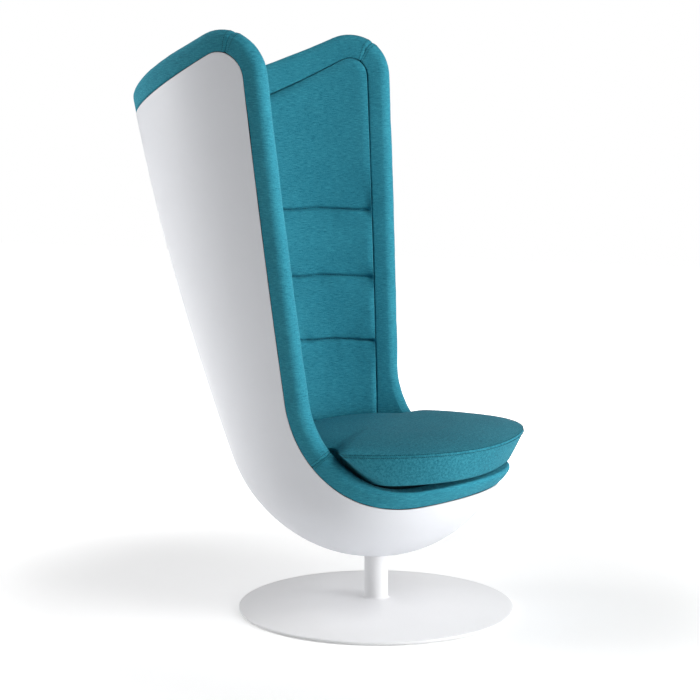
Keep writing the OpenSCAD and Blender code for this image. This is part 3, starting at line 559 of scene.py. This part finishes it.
SLOT_MATS = {
    "shell_white": shell_white, "base_white": base_white, "steel": metal(), "sheet_black": sheet_black,
    "bush_plastic": bush_plastic, "edge_black": edge_black, "teal_cloth": teal, "dark_felt": dark_felt,
    "plywood": wood(), "zip_black": zip_black,
}
for part in frame["record"]["subparts"]:
    node = frame["nodes"].get(part["node"])
    if node is not None:
        node.data.materials.clear()
        node.data.materials.append(SLOT_MATS[part["material_slot"]])


CORNER_COLS, ARC_ROWS = 4, 8


def wing_grid(off, zs, fan, cols, straight=False):
    """Grid over the back and wings: its columns' shares and tops, its angles and its heights.

    Its rows lie at zs, in fan more up to the tips, and in the tips' arc."""
    p = tip_pt(mix(90, TIP1, np.arange(CORNER_COLS + 1) / CORNER_COLS), off)
    aa = float(angle_at(*tip_pt(TIP1, off))) * (1 - np.arange(1, cols + 1) / cols)
    a = np.concatenate([angle_at(p[:, 0], p[:, 1]), aa])
    z = np.concatenate([p[:, 1], top_line(aa, off)])
    half = a / side_angle(z, off)
    share = np.concatenate([-half, half[-2::-1]])
    top = np.concatenate([z, z[-2::-1]])
    z0, z1, peak = zs[-1], float(tip_pt(TIP0, off)[1]), tip_c[1] + TIP_R + off
    arc = tip_pt(mix(TIP0, 90, np.arange(1, ARC_ROWS + 1) / ARC_ROWS), off)[:, 1]
    heights = np.concatenate([mix(z0, z1, np.arange(1, fan + 1) / fan), arc])
    t = (heights - z0) / (peak - z0)
    low = np.repeat(np.asarray(zs, float)[:, None], len(share), 1)
    za = np.concatenate([low, mix(z0, top[None], t[:, None])])
    return share, top, share[None] * side_angle(za, off, straight), za


# Places where the bowl's front columns meet the grid, and up to which its rows lie at the edge's heights
JOIN_AT, ROWS_AT = 16, 29


def make_shell():
    """Moulded shell: bowl rings up to the front edge, and above them the grid of back and wings."""
    bowl, low_rows, fan, cols, front_cols, lift = 46, 48, 34, 60, 60, 1.8
    zs = edge_at(np.linspace(JOIN_AT, ROWS_AT, low_rows))[1]
    ga, gz = wing_grid(0, zs, fan, cols)[2:]
    fa, fz = edge_at(np.linspace(JOIN_AT, 0, front_cols)[1:])
    ca = np.concatenate([ga[0], fa, 360 - fa[-2::-1]])
    cz = np.concatenate([gz[0], fz, fz[-2::-1]])
    nc, (rows, kc) = len(ca), ga.shape
    layers = []
    for d, floor in ((0, SHELL_Z), (SHELL_T, BOSS_Z)):
        rings = [arr(r * sin(ca), r * cos(ca), floor) for r in (HOLE_R, SEAT_R)]
        for i in range(1, bowl):
            z = mix(SHELL_Z + d + lift, cz, 1 - math.cos(math.pi / 2 * i / (bowl - 1)))
            p = wall(z, ca, d)
            p[:, 2] = np.maximum(z, floor)
            rings.append(p)
        layers.append(np.concatenate(rings + [wall(gz[1:], ga[1:], d).reshape(-1, 3)]))
    n = len(layers[0])

    def at(i, k):
        return bowl * nc + k if i == 0 else (bowl + 1) * nc + (i - 1) * kc + k

    quads = [(i * nc + j, i * nc + (j + 1) % nc, (i + 1) * nc + (j + 1) % nc, (i + 1) * nc + j)
             for i in range(bowl) for j in range(nc)]
    quads += [(at(i, k), at(i, k + 1), at(i + 1, k + 1), at(i + 1, k))
              for i in range(rows - 1) for k in range(kc - 1)]
    edge = ([bowl * nc + k for k in range(kc - 1, nc)] + [at(i, 0) for i in range(rows)]
            + [at(rows - 1, k) for k in range(1, kc)] + [at(i, kc - 1) for i in range(rows - 2, 0, -1)])
    faces = quads + [tuple(n + v for v in reversed(q)) for q in quads]
    faces += [(a, n + a, n + b, b) for a, b in zip(edge, edge[1:] + edge[:1])]
    faces += [(j, (j + 1) % nc, n + (j + 1) % nc, n + j) for j in range(nc)]
    ob = finish_mesh("moulded_shell", np.concatenate(layers), faces, "chair",
                     shell_white, sharp=35)
    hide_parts("outer_shell")


# Stuffed rim, sewn from four lengths: rows and their spacing at the sewn ends
RIM_STEP, RIM_SPAN, END_RUN, END_ROWS = 7, 4, 10, 8
# Angles at which the wing's section turns into the front's, and at which the crown swells
TURN_A, TURN_RUN, SWELL_A, SWELL_RUN = 88, 37, 84, 40
# The rounding inside the wall, as (share of the depth, millimetres up) for reaches over 12 mm
INNER_ROUND, INNER_FULL = ((1.0, 7), (0.985, 3), (0.95, 0.8), (0.84, 0)), 12
# Sewn ends: how far they pull in and over what length, and where their stitches lie
TUCK, TUCK_RUN, STITCH_IN, END_THREAD = 2.7, 7, 6.5, 0.95
# Slack of the cloth, as (cycles a millimetre, height, seed offset), and ripples at the sewn ends
RIM_SLACK = ((0.011, 1.0, 0), (0.045, 0.45, 3))
RIPPLE, RIPPLE_RUN, RIPPLE_STEP = 0.6, 18, 1.1
# The points of a section that show, which its stitches follow
RIM_SHOWN, PAD_SHOWN = slice(2, -6), slice(3, -3)


def make_rim(node, t0, t1, seed):
    """One length of the rim, from the place t0 to t1."""
    d, tt, n = even(t0, t1, RIM_STEP)
    stops = np.concatenate([
        np.linspace(0, END_RUN, END_ROWS)[:-1],
        np.linspace(END_RUN, d[-1] - END_RUN, n),
        np.linspace(d[-1] - END_RUN, d[-1], END_ROWS)[1:]])
    t = np.interp(stops, d, tt)
    a = np.abs(edge_at(t)[0])
    turn = ease((a - TURN_A) / TURN_RUN)[:, None, None]
    lift = np.zeros((len(t), 1, 2))
    lift[:, 0, 1] = SWELL * ease((SWELL_A - a) / SWELL_RUN)
    sec = mix(wing_section[None] + lift, front_section[None], turn)
    start = np.full(len(t), RIM_START)
    ring = [past_edge(t, np.full(len(t), FLUSH), start)]
    ring += [past_edge(t, sec[:, k, 0], sec[:, k, 1]) for k in range(sec.shape[1])]
    back = back_reach(t)
    for deep, up in INNER_ROUND:
        rise = up * np.minimum(1, np.maximum(back, 1) / INNER_FULL)
        ring.append(behind_edge(t, RIM_T * deep, back - rise))
    curve = spline(np.stack(ring, 1), RIM_SPAN)
    low = past_edge(t, np.full(len(t), PAD_D), start)
    rings = np.concatenate([low[:, None], curve, behind_edge(t, PAD_D, back)[:, None]], 1)
    m, k = rings.shape[:2]
    out = unit(rings - rings.mean(1, keepdims=True))
    end = np.minimum(stops, d[-1] - stops)
    tuck = TUCK * (1 - rounding(end, TUCK_RUN))
    wave = sum(soft(rings.reshape(-1, 3), scale, amp, seed + more) for scale, amp, more in RIM_SLACK)
    ripple = RIPPLE * np.exp(-end / RIPPLE_RUN)[:, None] * np.sin(np.arange(k) * RIPPLE_STEP + seed)[None]
    move = wave.reshape(m, k) - tuck[:, None] + ripple
    move[:, 0] = np.minimum(move[:, 0], 0)
    rings = rings + out * move[..., None]
    ob = finish_mesh(node + "_cover", rings, ring_faces(m, k), "chair", teal)
    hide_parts(node)
    for side, at in (("start", STITCH_IN), ("end", d[-1] - STITCH_IN)):
        row = int(np.argmin(np.abs(stops - at)))
        stitches(f"{node}_stitches_{side}", rings[row, RIM_SHOWN], out[row, RIM_SHOWN], "chair",
                 thick=END_THREAD)


# Back pad, with three sewn channels across it
SEAM_ROWS = (-11, -8, -5.5, -3.6, -2.1, -1, 0, 1, 2.1, 3.6, 5.5, 8, 11)
PAD_ROW, SEAM_CLEAR, PAD_FAN, PAD_COLS = 7.0, 13, 44, 80
# Radii of the rounding at the pad's flanks, top and foot, and its least thickness
FLANK_R, TOP_R, FOOT_R, PAD_LEAST = 9, 30, 24, 24
# Thickness at its edge; along the top it is less, and least in the middle
EDGE_T, TOP_FLANK_T, TOP_LESS, TOP_RUN = 36, 34, 12, 60
# Fall of the channels' section: two powers, and their shares
FOLD_SHARP, FOLD_WIDE, SHARP_SHARE, WIDE_SHARE = 0.35, 0.7, 0.45, 0.55
# Crease at the sewn seams, and how far from them the puckers and the seams' waves reach
CREASE, CREASE_RUN, CREASE_BASE = 8.5, 3.0, 0.75
PUCKER_RUN, FINE_RUN, WAVE_RUN = 28, 13, 22
ANGLE_MM = 5.2  # millimetres along the wall a degree, for the noise


def channel(z, top):
    """Share, from 0 to 1, of the way from one sewn seam to the next; the outer ones are half channels."""
    e = [np.full_like(z, PAD_LOW_Z)] + [np.full_like(z, s) for s in SEAMS] + [top]
    u = [(z - e[i]) / (e[i + 1] - e[i]) for i in range(4)]
    upper = np.where(z < e[3], u[2], mix(0, 0.5, u[3]))
    return np.where(z < e[1], mix(0.5, 1, u[0]), np.where(z < e[2], u[1], upper))


def make_pad():
    close = [s + k for s in SEAMS for k in SEAM_ROWS]
    plain = [z for z in np.arange(PAD_LOW_Z, SEAMS[-1], PAD_ROW)
             if min(abs(z - s) for s in SEAMS) > SEAM_CLEAR]
    zs = sorted(plain + close)
    share, top, _, gz = wing_grid(LAYER_OFF, zs, PAD_FAN, PAD_COLS, straight=True)
    c, tp = np.broadcast_to(share[None], gz.shape), np.broadcast_to(top[None], gz.shape)
    low_edge = PAD_LOW_Z - PAD_SAG * (1 - c * c)
    low = clamp((SEAMS[0] - gz) / (SEAMS[0] - PAD_LOW_Z))
    z = gz - (PAD_LOW_Z - low_edge) * low
    a = c * side_angle(z, LAYER_OFF, True)
    side = (1 - np.abs(c)) * side_angle(z, LAYER_OFF, True) * math.pi / 180 * SIDE_R
    edge = rounding(side, FLANK_R) * (rounding(tp - z, TOP_R) * rounding(z - low_edge, FOOT_R))
    u = channel(gz, tp)
    gap = np.min([np.abs(gz - s) for s in SEAMS], axis=0)
    fold = clamp(4 * u * (1 - u))
    fall = SHARP_SHARE * (1 - fold ** FOLD_SHARP) + WIDE_SHARE * (1 - fold ** FOLD_WIDE)
    body = PAD_T - PAD_SEAM * fall
    flat = arr(a * ANGLE_MM, gz, np.zeros_like(z)).reshape(-1, 3)

    def slack(stretch, scale, amp, seed, offset=(0, 0, 0)):
        return soft(flat * stretch + offset, scale, amp, seed).reshape(z.shape)

    pucker = slack([1, 0.35, 1], scale=0.02, amp=6.5, seed=11) * np.exp(-gap / PUCKER_RUN)
    pucker += slack([1, 0.3, 1], scale=0.06, amp=3.0, seed=12) * np.exp(-gap / FINE_RUN)
    loose = slack([0.5, 1, 1], scale=0.012, amp=1.8, seed=13)
    tight = CREASE_BASE + slack([1, 0, 1], scale=0.009, amp=0.9, seed=14)
    crease = CREASE * tight * np.exp(-(gap / CREASE_RUN) ** 2)
    z = z + slack([1, 0, 1], scale=0.014, amp=5.0, seed=15, offset=(0, 60, 0)) * np.exp(-gap / WAVE_RUN)
    thin = mix(TOP_FLANK_T - TOP_LESS * (1 - c * c), EDGE_T, clamp((tp - z) / TOP_RUN))
    depth = PAD_D + mix(thin, np.maximum(PAD_LEAST, body + (pucker + loose) * edge - crease), edge)
    back, face = wall(z, a, PAD_D), wall(z, a, depth)
    ob = finish_mesh("back_pad_cover", np.concatenate([back.reshape(-1, 3), face.reshape(-1, 3)]),
                     slab_faces(*z.shape), "chair", teal, sharp=60)
    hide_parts("back_pad")
    for k, s in enumerate(SEAMS):
        row = zs.index(s)
        stitches(f"back_pad_stitches_{k + 1}", face[row, PAD_SHOWN], unit(face - back)[row, PAD_SHOWN],
                 "chair")


# The liner shows in the gap under the back pad; its near-black felt is painted shade there as well as the
# felt's own colour
def make_liner():
    off, bottom, foot_rows, low_rows, fan, cols = -1.5, 396, 24, 12, 20, 40
    foot = np.linspace(bottom, edge_at(np.array([WING_AT]))[1][0], foot_rows)[:-1]
    zs = np.concatenate([foot, edge_at(np.linspace(WING_AT, ROWS_AT, low_rows))[1]])
    ga, gz = wing_grid(off, zs, fan, cols)[2:]
    layers = [wall(gz, ga, d).reshape(-1, 3) for d in (LINER_D, LINER_D + LINER_T)]
    ob = finish_mesh("felt_liner", np.concatenate(layers), slab_faces(*gz.shape), "chair",
                     dark_felt, sharp=60)
    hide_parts("inner_liner")


PROFILE_STEP, PROFILE = 8, ((1, 0.7), (1, 1.7), (7, 1.7), (7, 0.7))


# The strip is a part of the shell's edge; its black is painted shadow for the thin dark line between shell
# and rim
def make_profile():
    """Strip on the shell's edge, of the section PROFILE in (depth, height)."""
    d, tt, n = even(-BACK_AT, BACK_AT, PROFILE_STEP)
    t = np.interp(np.linspace(0, d[-1], n + 1)[:-1], d, tt)
    rings = np.stack([past_edge(t, np.full(n, deep), np.full(n, high)) for deep, high in PROFILE], 1)
    ob = finish_mesh("edge_trim", rings, ring_faces(n, len(PROFILE), True), "chair",
                     edge_black, sharp=40)
    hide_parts("edge_profile")


# Seat: the gap over each layer, and where the cushion's top starts to fall to the rear
LAYER_GAP, REAR_FROM_Y = 0.3, 25
# How far the cushion's lower edge stands in at its front, rear, wide and narrow parts
LOW_FRONT, LOW_REAR, LOW_WIDE, LOW_NARROW, CUSH_P = 44, 10, 30, 10, 2.4
# The neck between the wings: where it ends, how much lower down, and the run of its flare
NECK_Z, NECK_IN, NECK_LOW, NECK_RUN, NECK_RUN_LOW = 430, 35, 60, 62, 52
NECK_Y = float(wing_edge_y(NECK_Z)) - NECK_IN


def seat_plane(y):
    return BASE_Z - tan(SEAT_FALL) * (y + FRONT_R)


def cushion_top(y):
    back = np.maximum(0, y - REAR_FROM_Y)
    front_z = seat_plane(-CUSH_FY) + LAYER_GAP + EDGE_H
    return front_z - tan(CUSH_FALL) * (y + CUSH_FY) - back * back / (2 * CUSH_REAR_R)


def cushion_pt(a, high, inset=0.0):
    """Outline of the cushion, as [x, y], at the share high of its side panel."""
    low = 1 - high
    front, rear = CUSH_FY - LOW_FRONT * low - inset, CUSH_RY - LOW_REAR * low - inset
    wide, narrow = CUSH_FW - LOW_WIDE * low - inset, CUSH_RW - LOW_NARROW * low - inset
    c, s = cos(a), sin(a)
    y = np.where(c > 0, rear * np.maximum(c, 0) ** (2 / CUSH_P), -front * np.maximum(-c, 0) ** (2 / CUSH_P))
    turn = ease((NECK_Y - NECK_LOW * low - y) / (NECK_RUN + NECK_RUN_LOW * low))
    return arr(mix(narrow, wide, turn) * spow(s, 2 / CUSH_P), y)


def cushion_ring(a, high, inset=0.0):
    p = cushion_pt(a, high, inset)
    return arr(p[:, 0], p[:, 1], mix(seat_plane(p[:, 1]) + LAYER_GAP, cushion_top(p[:, 1]), high))


# The cover's rings: (height share, inset) of its foot, the side panel's bulge, the sewn edge, and the
# top panel's as shares of the way to its middle, close together at the edge
CUSH_COLS, FOOT_RINGS = 400, ((0, 1), (0.012, -1.4), (0.035, -2.8), (0.075, -3.6))
SIDE_LOW, SIDE_HIGH, SIDE_RINGS, SIDE_BULGE = 0.14, 0.95, 12, 3.8
SEWN_HIGH, SEWN_IN, SEWN_DEEP, TOP_DROP, CROWN_RUN = 0.985, 1.5, 2.6, 1.2, 2.2
TOP_RINGS = np.concatenate([[0], np.linspace(0.006, 0.05, 5), np.linspace(0.07, 0.96, 34)])
# Stitches beside the seam, and how many rings below it lies the middle that it is drawn towards
CUSH_STITCH_IN, CORE_RING = 3.6, 3


def crown(s):
    return CROWN * math.sqrt(math.sin(math.pi / 2 * min(1, CROWN_RUN * s)))


def make_cushion():
    """Seat cushion's cover as rings: bottom rounding, side panel, sewn edge and top panel."""
    a = np.linspace(0, 360, CUSH_COLS + 1)[:-1]
    rings = [cushion_ring(a, high, inset) for high, inset in FOOT_RINGS]
    for high in np.linspace(SIDE_LOW, SIDE_HIGH, SIDE_RINGS):
        rings.append(cushion_ring(a, high, SEWN_IN * high - SIDE_BULGE * math.cos(math.pi / 2 * high)))
    edge = cushion_ring(a, SEWN_HIGH, SEWN_IN)
    sewn = len(rings)
    for s in TOP_RINGS:
        x, y = edge[:, 0] * (1 - s), edge[:, 1] * (1 - s)
        rings.append(arr(x, y, cushion_top(y) - TOP_DROP + crown(s)))
    rings = np.array(rings)
    rings = press_out(rings, sewn)
    rings[sewn] += unit(rings[sewn - CORE_RING].mean(0) - rings[sewn]) * SEWN_DEEP
    # Its cloth is the darkened copy of the teal: painted shade for the seat's dim place inside the pod
    ob = finish_mesh("seat_cushion_cover", rings, ring_faces(*rings.shape[:2]), "cushion",
                     teal_seat_painted_shade)
    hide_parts("seat_cushion")
    for name, side in (("cushion_stitches_low", -1), ("cushion_stitches_high", 1)):
        line = rings[sewn] + unit(rings[sewn + side] - rings[sewn]) * CUSH_STITCH_IN
        stitches(name, line, unit(line - rings[sewn - CORE_RING].mean(0)), "cushion", True)


def make_zip_teeth():
    half_angle, points, proud = 42, 120, 1
    line = cushion_ring(np.linspace(-half_angle, half_angle, points), 0.5, -proud)
    stitches("zip_teeth", line, unit(line * [1, 1, 0]), "cushion", pitch=2.4, long=1.7, thick=2.6,
             mat=zip_black)


# Cloth: voxel and held distance from the seam in metres, held height over the seat in millimetres
VOXEL, SEAM_HELD, FOOT_HELD, FRAMES = 0.007, 0.0065, 6, 20
# How the movement is carried over: nearest points, softening, rounds of smoothing and caps
NEAREST, NEAR_SOFT, SMOOTH_STEP, SMOOTH_ROUNDS, SIDE_CAP, TOP_CAP = 4, 0.001, 2, 26, 1.5, 6.0


def tree_of(points):
    tree = KDTree(len(points))
    for k, p in enumerate(points):
        tree.insert(p, k)
    tree.balance()
    return tree


def apply(ob, mod):
    dg = bpy.context.evaluated_depsgraph_get()
    me = bpy.data.meshes.new_from_object(ob.evaluated_get(dg))
    ob.modifiers.remove(mod)
    ob.data = me


def press_out(rings, sewn):
    """Presses an even copy of the cover out with Cloth, and moves the rings as the copy moved."""
    m, n = rings.shape[:2]
    me = bpy.data.meshes.new("pressed")
    me.from_pydata([tuple(p) for p in rings.reshape(-1, 3) * MM], [], ring_faces(m, n))
    ob = bpy.data.objects.new("pressed", me)
    scene.collection.objects.link(ob)
    mod = ob.modifiers.new("voxels", "REMESH")
    mod.mode, mod.voxel_size = "VOXEL", VOXEL
    apply(ob, mod)
    before = np.empty(len(ob.data.vertices) * 3)
    ob.data.vertices.foreach_get("co", before)
    before = before.reshape(-1, 3)
    seam = tree_of(rings[sewn] * MM)
    low = (seat_plane(before[:, 1] / MM) + FOOT_HELD) * MM
    held = [k for k, p in enumerate(before) if p[2] < low[k] or seam.find(p)[2] < SEAM_HELD]
    ob.vertex_groups.new(name="sewn").add(held, 1.0, "REPLACE")
    cl = ob.modifiers.new("cover", "CLOTH")
    s = cl.settings
    s.quality, s.mass, s.air_damping = 5, 0.35, 2.0
    s.tension_stiffness = s.compression_stiffness = 25
    s.shear_stiffness, s.bending_stiffness = 10, 4.0
    s.vertex_group_mass, s.pin_stiffness = "sewn", 1.0
    s.use_pressure, s.uniform_pressure_force = True, 4.0
    s.effector_weights.gravity = 0
    cl.collision_settings.use_self_collision = False
    cl.collision_settings.use_collision = False
    cl.point_cache.frame_start, cl.point_cache.frame_end = 1, FRAMES
    for f in range(1, FRAMES + 1):
        scene.frame_set(f)
    ev = ob.evaluated_get(bpy.context.evaluated_depsgraph_get())
    after = np.empty(len(before) * 3)
    ev.to_mesh().vertices.foreach_get("co", after)
    ev.to_mesh_clear()
    scene.frame_set(1)
    step = (after.reshape(-1, 3) - before) / MM
    bpy.data.objects.remove(ob)
    near = tree_of(before)
    move = np.zeros_like(rings)
    for i in range(len(FOOT_RINGS), m):
        for j in range(n):
            if i != sewn:
                hits = near.find_n(rings[i, j] * MM, NEAREST)
                w = np.array([1 / (h[2] + NEAR_SOFT) for h in hits])
                move[i, j] = (step[[h[1] for h in hits]] * w[:, None]).sum(0) / w.sum()
    for _ in range(SMOOTH_ROUNDS):
        both = np.roll(move, SMOOTH_STEP, 1) + np.roll(move, -SMOOTH_STEP, 1)
        move[sewn + 1:] = (both + 2 * move)[sewn + 1:] / 4
    cap = np.concatenate([np.full(sewn, SIDE_CAP), np.full(m - sewn, TOP_CAP)])[:, None, None]
    move *= np.minimum(1, cap / np.maximum(np.linalg.norm(move, axis=2, keepdims=True), STILL))
    return rings + move


# A stitch is a six-sided thread with pointed ends: half its straight part, and how far it stands out
THREAD_SIDES, THREAD_STRAIGHT, THREAD_OUT = 6, 0.34, 0.15


def stitches(name, line, outward, body, closed=False, pitch=4.6, long=3.5, thick=1.1, mat=thread):
    """Sewing stitches along a line of points, standing a little outward."""
    pts = np.concatenate([line, line[:1]]) if closed else line
    outs = np.concatenate([outward, outward[:1]]) if closed else outward
    d = lengths(pts)
    count = int(d[-1] / pitch)
    at = (np.arange(count) + 0.5) * d[-1] / count

    def here(v, of):
        return arr(*[np.interp(v, d, of[:, k]) for k in range(3)])

    mid, u, out = here(at, pts), unit(here(at + 1, pts) - here(at - 1, pts)), here(at, outs)
    out = unit(out - u * (out * u).sum(1, keepdims=True))
    side = np.cross(u, out)
    verts, faces = [], []
    turn = range(THREAD_SIDES)
    points = [(-0.5, 0, 0)] + [(f, t, 1) for f in (-THREAD_STRAIGHT, THREAD_STRAIGHT) for t in turn]
    points.append((0.5, 0, 0))
    for i in range(count):
        for f, t, full in points:
            w = 2 * math.pi / THREAD_SIDES * t
            r = thick / 2 * full
            rise = out[i] * (r * math.cos(w) + THREAD_OUT)
            verts.append(mid[i] + u[i] * f * long + rise + side[i] * r * math.sin(w))
        first = i * len(points)
        a, b = first + 1, first + 1 + THREAD_SIDES
        pairs = [(t, (t + 1) % THREAD_SIDES) for t in turn]
        faces += [(first, a + t1, a + t) for t, t1 in pairs]
        faces += [(a + t, a + t1, b + t1, b + t) for t, t1 in pairs]
        faces += [(b + THREAD_SIDES, b + t, b + t1) for t, t1 in pairs]
    return finish_mesh(name, np.array(verts), faces, body, mat)


# Foam under the cushion: its depth inside the wall, and rings of (height share, more depth)
FOAM_IN, FOAM_COLS = 58, 160
FOAM_RINGS = ((0, 0), (0.25, 0), (0.5, 0), (0.75, 0), (0.93, 0), (0.98, 2), (1, 7))


def make_seat_base():
    a = np.linspace(-180, 180, FOAM_COLS + 1)[:-1]
    yt = wall(BASE_Z, a, FOAM_IN)[:, 1]
    rings = []
    for s, inset in FOAM_RINGS:
        z = mix(BOARD_Z + BOARD_T + LAYER_GAP, seat_plane(yt), s)
        p = wall(z, a, FOAM_IN + inset)
        if s == 1:
            p[:, 2] = seat_plane(p[:, 1])
        rings.append(p)
    ob = finish_mesh("seat_base_foam", np.array(rings), ring_faces(len(rings), FOAM_COLS), "chair",
                     dark_felt)
    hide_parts("seat_base")


# Base plate: (millimetres in, up or down) of its edge's rounding at the bottom and at the top
BASE_COLS, UNDER_RINGS, DOME_RINGS = 240, 24, 40
FOOT_EDGE, TOP_EDGE, DOME_IN = ((1.2, 0), (0.35, 0.35), (0, 1.2)), ((0, 1.2), (0.35, 0.4)), 1.4


def make_base():
    """Base plate with its smooth dome, as rings of a profile from the access hole outward and back."""
    r0 = BASE_D / 2
    top = UNDERLAY + BASE_EDGE + DOME_H
    big = (r0 * r0 + DOME_H * DOME_H) / (2 * DOME_H)

    def dome(r):
        return top - big + math.sqrt(big * big - r * r)

    seat = COLUMN_D / 2 + WELD + WELD_LIP
    prof = [(r, dome(r) - BASE_EDGE) for r in np.linspace(ACCESS_D / 2, r0 - FLANGE, UNDER_RINGS)]
    prof += [(r0 - x, UNDERLAY + up) for x, up in ((FLANGE, 0),) + FOOT_EDGE]
    prof += [(r0 - x, UNDERLAY + BASE_EDGE - down) for x, down in TOP_EDGE]
    prof += [(r, dome(r)) for r in np.linspace(r0 - DOME_IN, seat, DOME_RINGS)]
    prof += [(seat, top), (ACCESS_D / 2, top)]
    n, last = BASE_COLS, (len(prof) - 1) * BASE_COLS
    a = np.linspace(0, 360, n + 1)[:-1]
    rings = np.array([arr(r * sin(a), r * cos(a), z) for r, z in prof])
    faces = ring_faces(len(prof), n)[:last]
    faces += [(last + j, last + (j + 1) % n, (j + 1) % n, j) for j in range(n)]
    ob = finish_mesh("base_plate", rings, faces, "base", base_white, sharp=30)
    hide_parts("base_disc")


make_shell()
make_rim("rim_front", -SEAM_AT, SEAM_AT, 1)
make_rim("rim_left", SEAM_AT, TIP_LEFT, 2)
make_rim("rim_right", RIGHT_AT, 2 * BACK_AT - SEAM_AT, 3)
make_rim("rim_top", TIP_LEFT, RIGHT_AT, 4)
make_pad()
make_liner()
make_profile()
make_seat_base()
make_base()
make_cushion()
make_zip_teeth()


# Stage: the lamps light the floor paper; seen by the camera and in gloss or glass it also glows,
# up to white far from the chair. The world gives little light and is seen as white
FLOOR_HALF, FLOOR_GREY = 9, 0.92
FLOOR_GLOW = (("From Min", 0.75), ("From Max", 1.9), ("To Min", 0.2), ("To Max", 1.0))
WORLD_LIGHT, WORLD_SEEN = 0.03, 1.0


def make_floor():
    n = Nodes("floor_paper")
    n.set(Base_Color=(FLOOR_GREY, FLOOR_GREY, FLOOR_GREY, 1), Roughness=0.8, Specular_IOR_Level=0.1)
    light, glow = n.add("ShaderNodeLightPath"), n.add("ShaderNodeEmission")
    glow.inputs["Color"].default_value = (1, 1, 1, 1)
    away = n.add("ShaderNodeVectorMath", operation="LENGTH")
    n.link(n.co, away.inputs[0])
    far = n.add("ShaderNodeMapRange", interpolation_type="SMOOTHSTEP")
    n.link(away.outputs["Value"], far.inputs["Value"])
    for k, v in FLOOR_GLOW:
        far.inputs[k].default_value = v
    seen = n.math("MAXIMUM", light.outputs["Is Camera Ray"], n.math(
        "MAXIMUM", light.outputs["Is Glossy Ray"], light.outputs["Is Transmission Ray"]))
    n.link(n.math("MULTIPLY", seen, far.outputs["Result"]), glow.inputs["Strength"])
    both = n.add("ShaderNodeAddShader")
    n.link(n.b.outputs[0], both.inputs[0])
    n.link(glow.outputs[0], both.inputs[1])
    n.link(both.outputs[0], n.t.nodes["Material Output"].inputs["Surface"])
    me = bpy.data.meshes.new("floor")
    corners = ((-1, -1), (1, -1), (1, 1), (-1, 1))
    me.from_pydata([(FLOOR_HALF * x, FLOOR_HALF * y, 0) for x, y in corners], [], [(0, 1, 2, 3)])
    ob = bpy.data.objects.new("floor", me)
    me.materials.append(n.mat)
    scene.collection.objects.link(ob)


def make_world():
    world = bpy.data.worlds.new("studio")
    scene.world = world
    world.use_nodes = True
    t = world.node_tree
    path, bg = t.nodes.new("ShaderNodeLightPath"), t.nodes["Background"]
    seen = t.nodes.new("ShaderNodeMath")
    seen.operation = "MAXIMUM"
    t.links.new(path.outputs["Is Camera Ray"], seen.inputs[0])
    t.links.new(path.outputs["Is Transmission Ray"], seen.inputs[1])
    r = t.nodes.new("ShaderNodeMapRange")
    r.inputs["To Min"].default_value, r.inputs["To Max"].default_value = WORLD_LIGHT, WORLD_SEEN
    t.links.new(seen.outputs[0], r.inputs["Value"])
    t.links.new(r.outputs["Result"], bg.inputs["Strength"])
    bg.inputs["Color"].default_value = (1, 1, 1, 1)


# Lamps: name, place in metres, size in metres and power in watts
LAMPS = (
    ("front_low", (-0.6, -4.2, 1.0), 3.0, 168), ("front_high", (-0.8, -3.2, 3.6), 2.4, 84),
    ("front_right", (2.6, -3.6, 1.8), 3.0, 32), ("back_low", (-0.8, 4.0, 1.8), 3.0, 60),
    ("back_high", (-0.8, 3.2, 3.4), 2.4, 66), ("side", (4.2, 0, 1.8), 3.0, 36),
)
LAMP_AIM = (0, 0, 0.6)


def lamp(name, at, size, power):
    data = bpy.data.lights.new(name, "AREA")
    data.shape, data.size, data.energy = "DISK", size, power
    ob = bpy.data.objects.new(name, data)
    ob.location = at
    ob.rotation_euler = (Vector(LAMP_AIM) - Vector(at)).to_track_quat("-Z", "Y").to_euler()
    scene.collection.objects.link(ob)


make_floor()
make_world()
for row in LAMPS:
    lamp(*row)

# Camera: fitted to the photograph, with its place in metres and its angles in degrees
CAM_AT, CAM_TILT, CAM_TURN = (-4.70845, -1.73092, 1.36933), 81.9908, -69.0544
CAM_LENS, CAM_SENSOR = 103.715, 36
cam_data = bpy.data.cameras.new("camera")
cam_data.lens, cam_data.sensor_width = CAM_LENS, CAM_SENSOR
cam = bpy.data.objects.new("camera", cam_data)
cam.location = CAM_AT
cam.rotation_euler = (math.radians(CAM_TILT), 0, math.radians(CAM_TURN))
scene.collection.objects.link(cam)
scene.camera = cam
